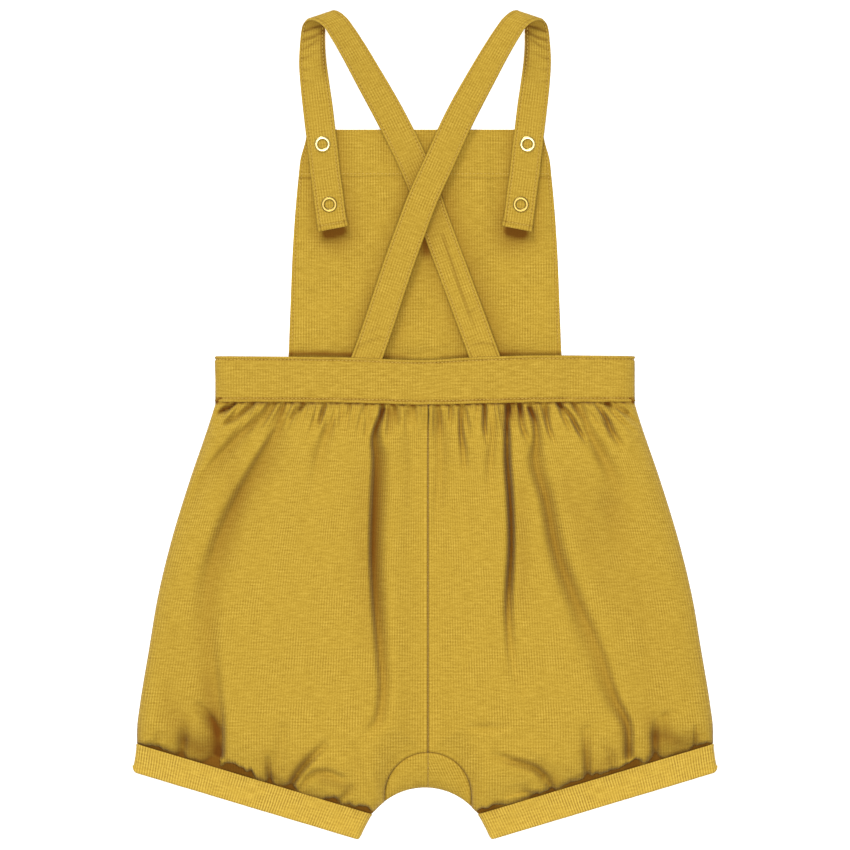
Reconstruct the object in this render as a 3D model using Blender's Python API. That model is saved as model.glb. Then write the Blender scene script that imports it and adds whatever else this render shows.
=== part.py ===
"""Kids dungarees lying flat with the back up: bib and crossed straps on a waistband, gathered short legs,
turned-up cuffs, a crotch gusset and ring snaps.

Every piece of cloth is a closed wall between two grids of points, 0.3 mm from its neighbours at the seams.
All sizes here are millimetres, turned into metres where a mesh is made. +Y runs to the straps, +Z is up, and
the origin is the middle of the underside.
"""

import math
from collections import namedtuple

import bmesh
import bpy
import numpy as np

MM = 0.001
SEAM = 0.3  # the gap that two pieces keep where they are sewn together
FLOOR_GAP = 0.4  # from a front panel's upper face to the edge of the back panel above it

# Cloth, as wall thicknesses. Doubled cloth is thicker.
LEG_WALL = 1.2
FRONT_WALL = 1.0
BAND_WALL = 1.6
STRAP_WALL = 1.4
BIB_WALL = 1.2
BIB_HEM_WALL = 1.8

# Waistband
WAIST_HALF = 125.8
BAND_TOP = 8.6  # height of the back band's upper face
BAND_ROLL = 9.0  # how far in the band takes to come down at each side
FRONT_BAND_LOW = 12.3
FRONT_BAND_HIGH = 38.0
BandEdge = namedtuple("BandEdge", "x low high")
BACK_BAND = (
    BandEdge(-125.7, 13.8, 41.3),
    BandEdge(-42.0, 13.2, 40.3),
    BandEdge(3.0, 12.1, 39.0),
    BandEdge(25.0, 12.6, 40.3),
    BandEdge(57.0, 13.4, 41.5),
    BandEdge(125.7, 13.8, 41.3),
)

# Legs: half the garment's width at a row of heights, and the seams between them
SideRow = namedtuple("SideRow", "y half")
SIDE = (
    SideRow(14.0, 125.3),
    SideRow(2.7, 128.8),
    SideRow(-33.3, 141.1),
    SideRow(-69.3, 152.1),
    SideRow(-105.3, 160.7),
    SideRow(-132.3, 165.2),
    SideRow(-168.3, 171.1),
    SideRow(-180.0, 172.6),
    SideRow(-190.8, 172.8),
)
CENTRE_X = 1.8  # the centre back seam lies a little to the right
ROW_LEVEL_OUTER = -150.0  # where the grid row that meets the top of the gusset starts at the side
BILLOW = 13.6  # height of the blown-up cloth's middle
TOP_RISE = 26.0  # how far below the band the cloth takes to blow up
CUFF_RISE = 22.0  # and how far above the cuff it takes to come down
LOWEST_FOLD = 6.3  # keeps the inside of the legs open under the folds
# Folds grow to their full depth over these distances from the middle seam, the side and the band
FOLD_FROM_SEAM = 8.0
FOLD_FROM_SIDE = 12.0
FOLD_FROM_BAND = 8.0
BAND_EDGE_FADE = 25.0  # how far down the grid's rows follow the wave of the band's edge
COLUMN_CROWDING = 1.2  # puts the grid's columns closer together at the side, where the cloth turns down
INSEAM_END = 0.3  # how far the inner leg edge stops from the gusset's point and from the cuff
INSEAM_INSET = 0.5  # and how far it lies in from the arch

# How the back panel meets its outer edge and its inner one, from the band (0) to the cuff (1)
EdgeRow = namedtuple("EdgeRow", "down height reach round")
OUTER_EDGE = (
    EdgeRow(0.0, 2.0, 9.0, 1.0),
    EdgeRow(0.15, 1.5, 18.0, 1.0),
    EdgeRow(0.5, 1.4, 27.0, 1.0),
    EdgeRow(0.85, 1.4, 20.0, 1.0),
    EdgeRow(1.0, 1.4, 4.5, 1.0),
)
INNER_EDGE = (
    EdgeRow(0.0, 7.8, 30.0, 0.0),
    EdgeRow(0.3, 9.6, 34.0, 0.0),
    EdgeRow(0.62, 8.8, 28.0, 0.0),
    EdgeRow(0.8, 6.8, 18.0, 0.3),
    EdgeRow(0.92, 3.8, 9.0, 0.9),
    EdgeRow(1.0, 2.3, 4.5, 1.0),
)

# The large folds of the back: troughs through three points, with their depth and half width
Fold = namedtuple("Fold", "start via end depth width")
FOLDS = {
    "left": (
        Fold((-112, 10), (-122, 4), (-130, -3), 3.0, 5.0),
        Fold((-92, 12), (-118, -12), (-146, -50), 4.0, 8.0),
        Fold((-84, 6), (-128, -55), (-133, -94), 6.0, 11.0),
        Fold((-133, -94), (-129, -140), (-122, -186), 5.0, 10.0),
        Fold((-26, 11), (-31, -40), (-29, -90), 7.5, 8.0),
        Fold((-29, -90), (-24, -140), (-33, -184), 4.5, 8.0),
        Fold((-60, 10), (-58, -8), (-63, -28), 3.0, 6.0),
        Fold((-96, -212), (-68, -200), (-56, -188), 3.5, 6.0),
    ),
    "right": (
        Fold((23, 11), (24, -5), (24, -22), 4.0, 6.0),
        Fold((50, 11), (52, -50), (51, -118), 7.5, 8.0),
        Fold((58, 11), (70, -36), (83, -82), 5.5, 8.0),
        Fold((83, -82), (100, -124), (122, -190), 6.0, 9.0),
        Fold((80, 12), (96, -8), (116, -35), 4.5, 7.0),
        Fold((104, 12), (112, 2), (118, -11), 3.0, 5.0),
        Fold((98, -192), (97, -202), (95, -212), 4.0, 6.0),
        Fold((43, -198), (66, -206), (77, -218), 3.5, 6.0),
    ),
}

# Gusset: a half disc with an arch cut out of it
GUSSET_CENTRE_Y = -222.0
GUSSET_RADIUS = 26.0
ARCH_CENTRE_Y = -257.1
ARCH_RADIUS = 39.6
GUSSET_TIP_REACH = 25.2  # where its points end, from the centre seam
GUSSET_SEAM_HEIGHTS = (8.8, 6.8, 3.2)  # along its round seam: at the middle, half way and at the point

# Cuffs: flattened rings, tilted. Corners of the left one; the right one is its mirror.
CUFF_OUTER_TOP = (-172.8, -190.8)
CUFF_INNER_TOP = (-31.6, -233.0)
CUFF_OUTER_LOW = (-175.2, -207.6)
CUFF_INNER_LOW = (-39.2, -248.4)
CUFF_HEIGHT = 8.0
CUFF_WALL = 1.6

# Bib: half its width at a row of heights
BIB = (
    SideRow(177.2, 70.5),
    SideRow(170.0, 71.8),
    SideRow(160.0, 74.6),
    SideRow(149.0, 75.9),
    SideRow(127.0, 77.9),
    SideRow(106.0, 79.3),
    SideRow(70.0, 80.8),
    SideRow(38.3, 82.0),
)
BIB_HEM_DEPTH = 28.0
BIB_HEM_STEP = 1.0  # how far the cloth takes to step down below the hem
BIB_TOP_ROWS = (166.0, 157.0)  # grid rows within the hem

# Straps: middle of the cloth, section by section from the waistband over the shoulder to the free end. turn
# is the direction of the section's edge, and tilt how far its right-hand side is raised, in degrees, for a
# loop on the left.
Section = namedtuple("Section", "x y z turn tilt width")
UNDER_STRAP = (
    Section(38.3, 33.7, 6.0, 20, 0, 18.0),
    Section(35.4, 41.7, 5.7, 20, 0, 18.0),
    Section(21.0, 81.0, 3.4, 20, 0, 18.0),
    Section(5.7, 122.4, 2.5, 20, 0, 18.0),
    Section(-4.6, 151.5, 2.9, 23, 0, 18.0),
    Section(-19.1, 181.7, 4.3, 26, -5, 18.0),
)
OVER_STRAP = (
    Section(-37.2, 33.7, 6.0, 20, 0, 18.0),
    Section(-34.2, 41.7, 5.9, 20, 0, 18.0),
    Section(-11.5, 108.3, 4.7, 20, 0, 18.0),
    Section(-0.4, 137.7, 4.7, 22, 0, 18.0),
    Section(9.0, 158.4, 5.0, 26, 0, 18.0),
    Section(19.6, 181.7, 5.3, 27, -5, 18.0),
)
# From here the two are mirrored: up to the roll and over it, down on the surface, up on the bib and the
# lifted end
ROLL_AND_END = (
    Section(-34.9, 210.2, 7.4, 28, -16, 17.5),
    Section(-43.3, 224.9, 9.0, 29, -22, 17.0),
    Section(-49.4, 234.7, 9.8, 27, -24, 16.5),
    Section(-53.9, 241.0, 10.0, 23, -25, 16.2),
    Section(-58.4, 244.4, 9.0, 22, -20, 16.0),
    Section(-62.3, 245.2, 7.0, 19, -6, 16.0),
    Section(-65.2, 242.6, 5.2, 15, 10, 16.0),
    Section(-66.7, 238.3, 4.6, 10, 22, 16.0),
    Section(-67.3, 231.0, 4.4, 5, 24, 16.5),
    Section(-67.3, 217.3, 3.4, 4, 16, 17.2),
    Section(-66.1, 205.0, 2.4, 6, 8, 17.6),
    Section(-64.2, 190.0, 2.8, 7, 0, 18.0),
    Section(-62.4, 175.0, 5.2, 7, 0, 18.0),
    Section(-60.9, 163.0, 5.2, 7, 0, 18.0),
    Section(-59.4, 149.0, 4.6, 8, 0, 18.0),
    Section(-57.9, 138.0, 4.2, 8, 0, 18.0),
    Section(-56.6, 127.0, 4.2, 9, 0, 18.0),
    Section(-54.9, 117.4, 5.6, 11, 0, 18.4),
)

# Ring snaps: x (on the left), y, the strap's middle height there, and whether a stud holds it to the bib
Snap = namedtuple("Snap", "name x y z studded")
SNAPS = (
    Snap("upper", -61.4, 168.2, 5.2, True),
    Snap("lower", -57.4, 132.1, 4.2, False),
)
RING_OUTER = 4.75
RING_INNER = 3.25
RING_TALL = 0.8
RING_SHOULDER = 0.6  # share of its height at which a ring starts to round over
RING_BEVEL = 0.3  # and share of its width that the rounding takes on each side
SOCKET_OUTER = 4.6
SOCKET_INNER = 2.3
SOCKET_TALL = 1.1
STUD_FLANGE = 4.2
STUD_NECK = 1.9
STUD_GRIP = 0.8  # share of the socket's depth that the neck goes into

# How finely the grids are divided
PanelGrid = namedtuple("PanelGrid", "columns seam_rows arc_rows inseam_rows")
BACK_GRID = PanelGrid(30, 13, 5, 3)
FRONT_GRID = PanelGrid(7, 8, 5, 3)
GUSSET_TURNS = 5
GUSSET_BACK_ROWS = 5
GUSSET_FRONT_ROWS = 2
BAND_ROLL_SPANS = 6
BAND_LEVEL_SPANS = 21
BAND_FRONT_SPANS = 15
CUFF_SPANS = 8
CUFF_TURNS = 7
BIB_ROWS = 9
BIB_COLUMNS = 11
STRAP_ROWS = 46
RING_STEPS = 20
SOCKET_STEPS = 12
FOLD_STEPS = 25

# Colours
MUSTARD = "c7a23b"
BRASS = "d9c27a"

LEFT, RIGHT = -1, 1
SIDES = {"left": LEFT, "right": RIGHT}


def clear_scene():
    for thing in list(bpy.data.objects):
        bpy.data.objects.remove(thing, do_unlink=True)


def linear(hex_colour):
    """An sRGB hex colour as linear RGBA."""
    parts = [int(hex_colour[i : i + 2], 16) / 255 for i in (0, 2, 4)]
    return [c / 12.92 if c <= 0.04045 else ((c + 0.055) / 1.055) ** 2.4 for c in parts] + [1.0]


def surface(name, colour, roughness, metallic):
    material = bpy.data.materials.new(name)
    material.use_nodes = True
    shader = material.node_tree.nodes["Principled BSDF"]
    shader.inputs["Base Color"].default_value = linear(colour)
    shader.inputs["Roughness"].default_value = roughness
    shader.inputs["Metallic"].default_value = metallic
    return material


# Curves and easing


def smooth(knots, values, at):
    """A smooth curve through the values at their knots, read at the given places."""
    knots, values, at = np.array(knots, float), np.array(values, float), np.asarray(at, float)
    if knots[0] > knots[-1]:
        knots, values = knots[::-1], values[::-1]
    steps = np.diff(knots)
    rates = (np.diff(values, axis=0).T / steps).T
    inner = ((rates[:-1].T * steps[1:] + rates[1:].T * steps[:-1]) / (steps[:-1] + steps[1:])).T
    slopes = np.concatenate([rates[:1], inner, rates[-1:]])
    i = np.clip(np.searchsorted(knots, at) - 1, 0, len(steps) - 1)
    t = np.clip((at - knots[i]) / steps[i], 0, 1)
    wide = (lambda a: a[..., None]) if values.ndim == 2 else (lambda a: a)
    t, step = wide(t), wide(steps[i])
    rise = 3 * t**2 - 2 * t**3
    bend = t * (1 - t)
    return (
        values[i] * (1 - rise)
        + values[i + 1] * rise
        + bend * ((1 - t) * slopes[i] - t * slopes[i + 1]) * step
    )


def column(rows, name):
    return [getattr(row, name) for row in rows]


def ease(x):
    x = np.clip(x, 0, 1)
    return x * x * (3 - 2 * x)


def swell(x):
    """0 to 1, steep at first, as cloth blows up from a gathered seam."""
    return np.sin(np.clip(x, 0, 1) * math.pi / 2)


def rolled(x):
    """0 to 1 round a quarter circle, as a folded edge rises."""
    return np.sqrt(np.clip(1 - (1 - np.clip(x, 0, 1)) ** 2, 0, 1))


def half_width(rows, y):
    return smooth(column(rows, "y"), column(rows, "half"), y)


def band_low(x):
    return smooth(column(BACK_BAND, "x"), column(BACK_BAND, "low"), x)


def band_high(x):
    return smooth(column(BACK_BAND, "x"), column(BACK_BAND, "high"), x)


def front_band_low(x):
    return np.full(np.shape(x), FRONT_BAND_LOW)


# Walls of cloth


def skin(name, top, bottom, material, ring=False):
    """A closed body between two grids of points, with rims. A ring's last column joins its first."""
    mesh = bmesh.new()
    rows, columns = top.shape[:2]
    upper = [[mesh.verts.new(p * MM) for p in row] for row in top]
    lower = [[mesh.verts.new(p * MM) for p in row] for row in bottom]
    spans = columns if ring else columns - 1
    for i in range(rows - 1):
        for j in range(spans):
            k = (j + 1) % columns
            mesh.faces.new((upper[i][j], upper[i + 1][j], upper[i + 1][k], upper[i][k]))
            mesh.faces.new((lower[i][k], lower[i + 1][k], lower[i + 1][j], lower[i][j]))
    for j in range(spans):
        k = (j + 1) % columns
        mesh.faces.new((upper[0][k], lower[0][k], lower[0][j], upper[0][j]))
        mesh.faces.new((upper[-1][j], lower[-1][j], lower[-1][k], upper[-1][k]))
    if not ring:
        for i in range(rows - 1):
            mesh.faces.new((upper[i][0], lower[i][0], lower[i + 1][0], upper[i + 1][0]))
            mesh.faces.new((upper[i + 1][-1], lower[i + 1][-1], lower[i][-1], upper[i][-1]))
    return finish(name, mesh, material)


def finish(name, mesh, material):
    """An object of its own from a closed bmesh, its faces turned outwards."""
    if mesh.calc_volume(signed=True) < 0:
        bmesh.ops.reverse_faces(mesh, faces=mesh.faces)
    data = bpy.data.meshes.new(name)
    mesh.to_mesh(data)
    mesh.free()
    data.materials.append(material)
    data.shade_smooth()
    data.set_sharp_from_angle(angle=math.radians(40))
    thing = bpy.data.objects.new(name, data)
    bpy.context.scene.collection.objects.link(thing)
    return thing


def unit(vectors):
    return vectors / np.maximum(np.linalg.norm(vectors, axis=-1, keepdims=True), 1e-9)


def normals(grid):
    """Upward unit normals of a grid of points."""
    across = np.cross(np.gradient(grid, axis=0), np.gradient(grid, axis=1))
    across[across[..., 2] < 0] *= -1
    return unit(across)


def keep_square(direction, edge):
    """Offset directions along an edge, without the part that would push over the seam."""
    along = np.gradient(edge, axis=0)
    over = unit(np.stack([along[:, 1], -along[:, 0], np.zeros(len(edge))], axis=1))
    return unit(direction - (direction * over).sum(axis=1, keepdims=True) * over)


def panel(name, middle, thickness, material, hanging):
    """A curved wall round its middle surface. Rows run down the garment, columns across it.

    Edges are cut square to the seams, except the hanging column, whose wall stands upright.
    """
    offset = normals(middle)
    offset[0] = keep_square(offset[0], middle[0])
    offset[-1] = keep_square(offset[-1], middle[-1])
    for j in (0, -1):
        offset[:, j] = keep_square(offset[:, j], middle[:, j])
    if hanging is not None:
        outward = middle[:, 0] - middle[:, 1] if hanging == 0 else middle[:, -1] - middle[:, -2]
        outward[:, 2] = 0
        offset[:, hanging] = unit(outward)
    half = offset * thickness / 2
    return skin(name, middle + half, middle - half, material)


def flat_panel(name, plan, low, high, material):
    """A level wall over a grid of plan points, between two heights (the upper may be a grid)."""
    lower = np.dstack([plan, np.full(plan.shape[:2], low)])
    upper = np.dstack([plan, np.broadcast_to(high, plan.shape[:2])])
    return skin(name, upper, lower, material)


# Waistband


def make_waistband(cloth):
    roll = np.linspace(0, math.pi / 2, BAND_ROLL_SPANS)
    side = WAIST_HALF - BAND_WALL / 2 - BAND_ROLL * (1 - np.cos(roll))
    level = np.linspace(side[-1], -side[-1], BAND_LEVEL_SPANS)[1:-1]
    x = np.concatenate([side, level, -side[::-1]])
    top = BAND_TOP - BAND_WALL / 2
    foot = BAND_WALL + FLOOR_GAP
    z = foot + (top - foot) * rolled((WAIST_HALF - BAND_WALL / 2 - np.abs(x)) / BAND_ROLL)
    rows = [np.stack([x, band_high(x) * (1 - t) + band_low(x) * t, z], axis=1) for t in (0, 0.5, 1)]
    middle = np.array(rows)
    offset = normals(middle)
    offset[..., 1] = 0
    for j, sign in ((0, 1), (-1, -1)):
        offset[:, j] = (sign, 0, 0)
    half = unit(offset) * BAND_WALL / 2
    skin("waistband_back", middle + half, middle - half, cloth)
    across = np.linspace(-WAIST_HALF, WAIST_HALF, BAND_FRONT_SPANS)
    plan = np.array([[(x, y) for x in across] for y in (FRONT_BAND_HIGH, FRONT_BAND_LOW)])
    flat_panel("waistband_front", plan, 0.0, BAND_WALL, cloth)


# Legs


def leg_plan(side, grid, inset, band_edge):
    """Plan points of a leg panel: rows from the band to the cuff, columns from the side to the middle."""
    hem = SEAM / 2
    outer_y = np.concatenate(
        [
            np.linspace(band_edge(side * WAIST_HALF) - SEAM, ROW_LEVEL_OUTER, grid.seam_rows + 1),
            np.linspace(ROW_LEVEL_OUTER, CUFF_OUTER_TOP[1] + SEAM, grid.arc_rows + grid.inseam_rows + 1)[1:],
        ]
    )
    outer = np.stack([side * (half_width(SIDE, outer_y) - inset), outer_y], axis=1)
    reach = GUSSET_RADIUS + hem
    seam_y = np.linspace(band_edge(CENTRE_X) - SEAM, GUSSET_CENTRE_Y + reach, grid.seam_rows + 1)
    seam = np.stack([np.full(len(seam_y), CENTRE_X + side * hem), seam_y], axis=1)
    turn = np.linspace(0, math.pi / 2, grid.arc_rows + 1)[1:]
    arc = gusset_edge(side, reach, turn)
    tip_x = abs(arc[-1, 0]) + INSEAM_END
    cuff_x = abs(CUFF_INNER_TOP[0]) - INSEAM_END
    inseam_x = np.linspace(tip_x, cuff_x, grid.inseam_rows)
    inseam = np.stack([side * inseam_x, arch_y(inseam_x) + INSEAM_INSET], axis=1)
    inner = np.concatenate([seam, arc, inseam])
    across = np.linspace(0, 1, grid.columns + 1)[None, :, None] ** COLUMN_CROWDING
    plan = outer[:, None] * (1 - across) + inner[:, None] * across
    rise = band_edge(plan[0, :, 0]) - SEAM - plan[0, :, 1]
    fade = 1 - ease((plan[0, :, 1] - plan[:, :, 1]) / BAND_EDGE_FADE)
    plan[..., 1] += rise * fade
    return plan


def arch_y(x):
    return ARCH_CENTRE_Y + np.sqrt(ARCH_RADIUS**2 - np.asarray(x, float) ** 2)


def gusset_edge(side, reach, turn):
    """Points on the gusset's round seam, at angles from its top."""
    x = CENTRE_X + side * reach * np.sin(turn)
    return np.stack([x, GUSSET_CENTRE_Y + reach * np.cos(turn)], axis=1)


def fold_depth(folds, x, y):
    """How far the folds take the cloth down at each point."""
    total = np.zeros_like(x)
    for fold in folds:
        t = np.linspace(0, 1, FOLD_STEPS)[:, None]
        start, via, end = (np.array(p, float) for p in (fold.start, fold.via, fold.end))
        bend = 2 * via - (start + end) / 2
        path = start * (1 - t) ** 2 + 2 * bend * t * (1 - t) + end * t**2
        away = np.hypot(x[..., None] - path[:, 0], y[..., None] - path[:, 1])
        nearest = away.argmin(axis=-1) / (len(path) - 1)
        away = away.min(axis=-1)
        along = 1 - ease((nearest - 0.7) / 0.3) * 0.6
        total = np.maximum(total, fold.depth * along * np.exp(-((away / fold.width) ** 2)))
    return total


def edge_shape(rows, down, distance):
    """Height of an edge, and 0 to 1 for how far the cloth has risen at a distance from it."""
    height, reach, roundness = (
        smooth(column(rows, "down"), column(rows, name), down) for name in ("height", "reach", "round")
    )
    near = distance / reach
    return height, ease(near) * (1 - roundness) + rolled(near) * roundness


def leg_height(plan, folds, inset):
    """Height of the middle of a back leg's cloth over its plan points."""
    x, y = plan[..., 0], plan[..., 1]
    down = np.linspace(0, 1, len(plan))[:, None] * np.ones(plan.shape[1])
    cuff = np.array(CUFF_INNER_TOP) - CUFF_OUTER_TOP
    cuff = cuff / np.linalg.norm(cuff)
    above_cuff = (y - CUFF_OUTER_TOP[1]) * cuff[0] + (-np.abs(x) - CUFF_OUTER_TOP[0]) * -cuff[1]
    below_band = band_low(x) - y
    from_side = half_width(SIDE, y) - inset - np.abs(x)
    from_seam = np.where(y > GUSSET_CENTRE_Y + GUSSET_RADIUS, np.abs(x - CENTRE_X), 1e3)
    from_arc = np.hypot(x - CENTRE_X, y - GUSSET_CENTRE_Y) - GUSSET_RADIUS
    from_inner = np.clip(np.minimum(from_seam, from_arc), 0, None)
    inner_edge = np.hypot(x - plan[:, -1:, 0], y - plan[:, -1:, 1])
    from_inner = np.where(down > 0.9, inner_edge, np.minimum(from_inner, inner_edge))
    base = BAND_TOP - BAND_WALL / 2 + (CUFF_HEIGHT - CUFF_WALL / 2 - (BAND_TOP - BAND_WALL / 2)) * down
    crown = base + (BILLOW - base) * swell(below_band / TOP_RISE) * swell(above_cuff / CUFF_RISE)
    foot, risen = edge_shape(INNER_EDGE, down, from_inner)
    z = foot + (crown - foot) * risen
    spread = ease(from_inner / FOLD_FROM_SEAM) * ease(from_side / FOLD_FROM_SIDE)
    spread = spread * (1 + ease(below_band / FOLD_FROM_BAND)) / 2
    z -= fold_depth(folds, x, y) * spread
    z = np.maximum(z, np.minimum(foot, LOWEST_FOLD))
    foot, risen = edge_shape(OUTER_EDGE, down, from_side)
    return foot + (z - foot) * risen


def make_legs(cloth):
    for word, side in SIDES.items():
        inset = LEG_WALL / 2
        plan = leg_plan(side, BACK_GRID, inset, band_low)
        middle = np.dstack([plan, leg_height(plan, FOLDS[word], inset)])
        panel(f"back_leg_{word}", middle, LEG_WALL, cloth, hanging=0)
        plan = leg_plan(side, FRONT_GRID, 0.0, front_band_low)
        flat_panel(f"front_leg_{word}", plan, 0.0, FRONT_WALL, cloth)


# Gusset


def gusset_plan(side, turns, rows, inset):
    """Plan points of half the gusset: rows from its round seam to the arch, columns from the middle out."""
    reach = GUSSET_RADIUS - SEAM / 2
    turn = np.linspace(0, math.pi / 2, turns + 1)
    outer = gusset_edge(side, reach, turn)
    outer[0, 0] = CENTRE_X + side * SEAM / 2
    tip = CENTRE_X + side * GUSSET_TIP_REACH
    inner_x = outer[0, 0] + (tip - outer[0, 0]) * np.sin(turn)
    inner = np.stack([inner_x, arch_y(inner_x) + inset], axis=1)
    down = np.linspace(0, 1, rows + 1)[:, None, None]
    return outer * (1 - down) + inner * down


def make_gusset(cloth):
    foot = FRONT_WALL + FLOOR_GAP
    for word, side in SIDES.items():
        plan = gusset_plan(side, GUSSET_TURNS, GUSSET_BACK_ROWS, LEG_WALL / 2)
        down = np.linspace(0, 1, len(plan))[:, None]
        seam = smooth((0, 0.5, 1), GUSSET_SEAM_HEIGHTS, np.linspace(0, 1, plan.shape[1]))
        z = foot + (seam - foot) * np.sqrt(1 - down**2)
        middle = np.dstack([plan, z])
        offset = normals(middle)
        offset[0] = keep_square(offset[0], middle[0])
        for j in (0, -1):
            offset[:, j] = keep_square(offset[:, j], middle[:, j])
        outward = middle[-1] - middle[-2]
        outward[:, 2] = 0
        offset[-1] = unit(outward)
        offset[-1, -1, 0] = 0
        half = unit(offset) * LEG_WALL / 2
        skin(f"gusset_back_{word}", middle + half, middle - half, cloth)
        plan = gusset_plan(side, GUSSET_TURNS, GUSSET_FRONT_ROWS, 0.0)
        flat_panel(f"gusset_front_{word}", plan, 0.0, FRONT_WALL, cloth)


# Cuffs


def cuff_loop(start, end, thickness_out):
    """Points round a flattened ring between two ends: along the underside, round, back on top, round."""
    start, end = np.array(start), np.array(end)
    along = (end - start) / np.linalg.norm(end - start)
    radius = CUFF_HEIGHT / 2 - CUFF_WALL / 2
    first, last = start + along * CUFF_HEIGHT / 2, end - along * CUFF_HEIGHT / 2
    middle_z = CUFF_HEIGHT / 2
    reach = radius + thickness_out
    points = []
    for t in np.linspace(0, 1, CUFF_SPANS):
        points.append((*(first + (last - first) * t), middle_z - reach))
    for turn in np.linspace(-math.pi / 2, math.pi / 2, CUFF_TURNS)[1:-1]:
        points.append((*(last + along * reach * math.cos(turn)), middle_z + reach * math.sin(turn)))
    for t in np.linspace(1, 0, CUFF_SPANS):
        points.append((*(first + (last - first) * t), middle_z + reach))
    for turn in np.linspace(math.pi / 2, -math.pi / 2, CUFF_TURNS)[1:-1]:
        points.append((*(first - along * reach * math.cos(turn)), middle_z + reach * math.sin(turn)))
    return np.array(points)


def make_cuffs(cloth):
    for word, side in SIDES.items():
        flip = np.array([-side, 1, 1])
        for_row = []
        for t in (0, 0.5, 1):
            outer = np.array(CUFF_OUTER_TOP) * (1 - t) + np.array(CUFF_OUTER_LOW) * t
            inner = np.array(CUFF_INNER_TOP) * (1 - t) + np.array(CUFF_INNER_LOW) * t
            for_row.append((outer, inner))
        outside = np.array([cuff_loop(a, b, CUFF_WALL / 2) for a, b in for_row]) * flip
        inside = np.array([cuff_loop(a, b, -CUFF_WALL / 2) for a, b in for_row]) * flip
        skin(f"cuff_{word}", outside, inside, cloth, ring=True)


# Bib


def make_bib(cloth):
    hem = BIB[0].y - BIB_HEM_DEPTH
    below = np.linspace(hem - BIB_HEM_STEP, BIB[-1].y, BIB_ROWS)
    y = np.concatenate([[BIB[0].y, *BIB_TOP_ROWS, hem], below])
    across = np.linspace(-1, 1, BIB_COLUMNS)
    plan = np.array([[(x * half_width(BIB, level), level) for x in across] for level in y])
    high = np.where(y >= hem, BIB_HEM_WALL, BIB_WALL)[:, None] * np.ones(len(across))
    flat_panel("bib", plan, 0.0, high, cloth)


# Straps


def strap_sections(sections, count):
    """The strap's middle line and edge directions at even steps along it."""
    rows = np.array(sections, float)
    length = np.concatenate([[0], np.cumsum(np.linalg.norm(np.diff(rows[:, :3], axis=0), axis=1))])
    return smooth(length, rows, np.linspace(0, length[-1], count))


def make_strap(name, sections, mirrored, cloth):
    rows = strap_sections(sections, STRAP_ROWS)
    centre = rows[:, :3]
    turn, tilt = np.radians(rows[:, 3]), np.radians(rows[:, 4])
    edge = np.stack([np.cos(turn) * np.cos(tilt), np.sin(turn) * np.cos(tilt), np.sin(tilt)], axis=1)
    if mirrored:
        edge[:, 0] *= -1
    along = unit(np.gradient(centre, axis=0))
    out = unit(np.cross(edge, along) * (-1 if mirrored else 1))
    across = np.array([-0.5, 0.0, 0.5]) * rows[:, 5:]
    middle = centre[:, None] + edge[:, None] * across[..., None]
    half = out[:, None] * STRAP_WALL / 2
    skin(name, middle + half, middle - half, cloth)


def make_straps(cloth):
    make_strap("strap_left", UNDER_STRAP + ROLL_AND_END, False, cloth)
    other_end = tuple(row._replace(x=-row.x) for row in ROLL_AND_END)
    make_strap("strap_right", OVER_STRAP + other_end, True, cloth)


# Snaps


def turned(name, profile, steps, x, y, z, material):
    """A round piece: a closed profile of (radius, height), or one that starts and ends on the axis."""
    mesh = bmesh.new()
    open_ends = profile[0][0] == 0
    points = [mesh.verts.new((r * MM, 0, h * MM)) for r, h in profile]
    edges = [mesh.edges.new(pair) for pair in zip(points, points[1:])]
    if not open_ends:
        edges.append(mesh.edges.new((points[-1], points[0])))
    bmesh.ops.spin(
        mesh,
        geom=points + edges,
        cent=(0, 0, 0),
        axis=(0, 0, 1),
        angle=2 * math.pi,
        steps=steps,
        use_merge=True,
    )
    bmesh.ops.remove_doubles(mesh, verts=mesh.verts, dist=1e-6)
    bmesh.ops.recalc_face_normals(mesh, faces=mesh.faces)
    thing = finish(name, mesh, material)
    thing.location = (x * MM, y * MM, z * MM)
    return thing


def make_snaps(metal):
    width = RING_OUTER - RING_INNER
    ring = (
        (RING_INNER, 0),
        (RING_OUTER, 0),
        (RING_OUTER, RING_SHOULDER * RING_TALL),
        (RING_OUTER - RING_BEVEL * width, RING_TALL),
        (RING_INNER + RING_BEVEL * width, RING_TALL),
        (RING_INNER, RING_SHOULDER * RING_TALL),
    )
    socket = (
        (SOCKET_INNER, 0),
        (SOCKET_OUTER, 0),
        (SOCKET_OUTER, SOCKET_TALL),
        (SOCKET_INNER, SOCKET_TALL),
    )
    for word, side in SIDES.items():
        for snap in SNAPS:
            x = -side * snap.x
            above = snap.z + STRAP_WALL / 2 + SEAM
            below = snap.z - STRAP_WALL / 2 - SEAM - SOCKET_TALL
            turned(f"snap_ring_{word}_{snap.name}", ring, RING_STEPS, x, snap.y, above, metal)
            turned(f"snap_socket_{word}_{snap.name}", socket, SOCKET_STEPS, x, snap.y, below, metal)
            if snap.studded:
                seat = BIB_HEM_WALL + SEAM
                flange = below - SEAM - seat
                tall = below + STUD_GRIP * SOCKET_TALL - seat
                stud = (
                    (0, 0),
                    (STUD_FLANGE, 0),
                    (STUD_FLANGE, flange),
                    (STUD_NECK, flange),
                    (STUD_NECK, tall),
                    (0, tall),
                )
                turned(f"snap_stud_{word}", stud, SOCKET_STEPS, x, snap.y, seat, metal)


def main():
    clear_scene()
    cloth = surface("mustard_cotton", MUSTARD, 0.9, 0.0)
    doubled = surface("mustard_cotton_doubled", MUSTARD, 0.9, 0.0)
    metal = surface("brass_snap", BRASS, 0.3, 1.0)
    make_waistband(doubled)
    make_legs(cloth)
    make_gusset(cloth)
    make_cuffs(doubled)
    make_bib(cloth)
    make_straps(doubled)
    make_snaps(metal)


main()
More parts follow.
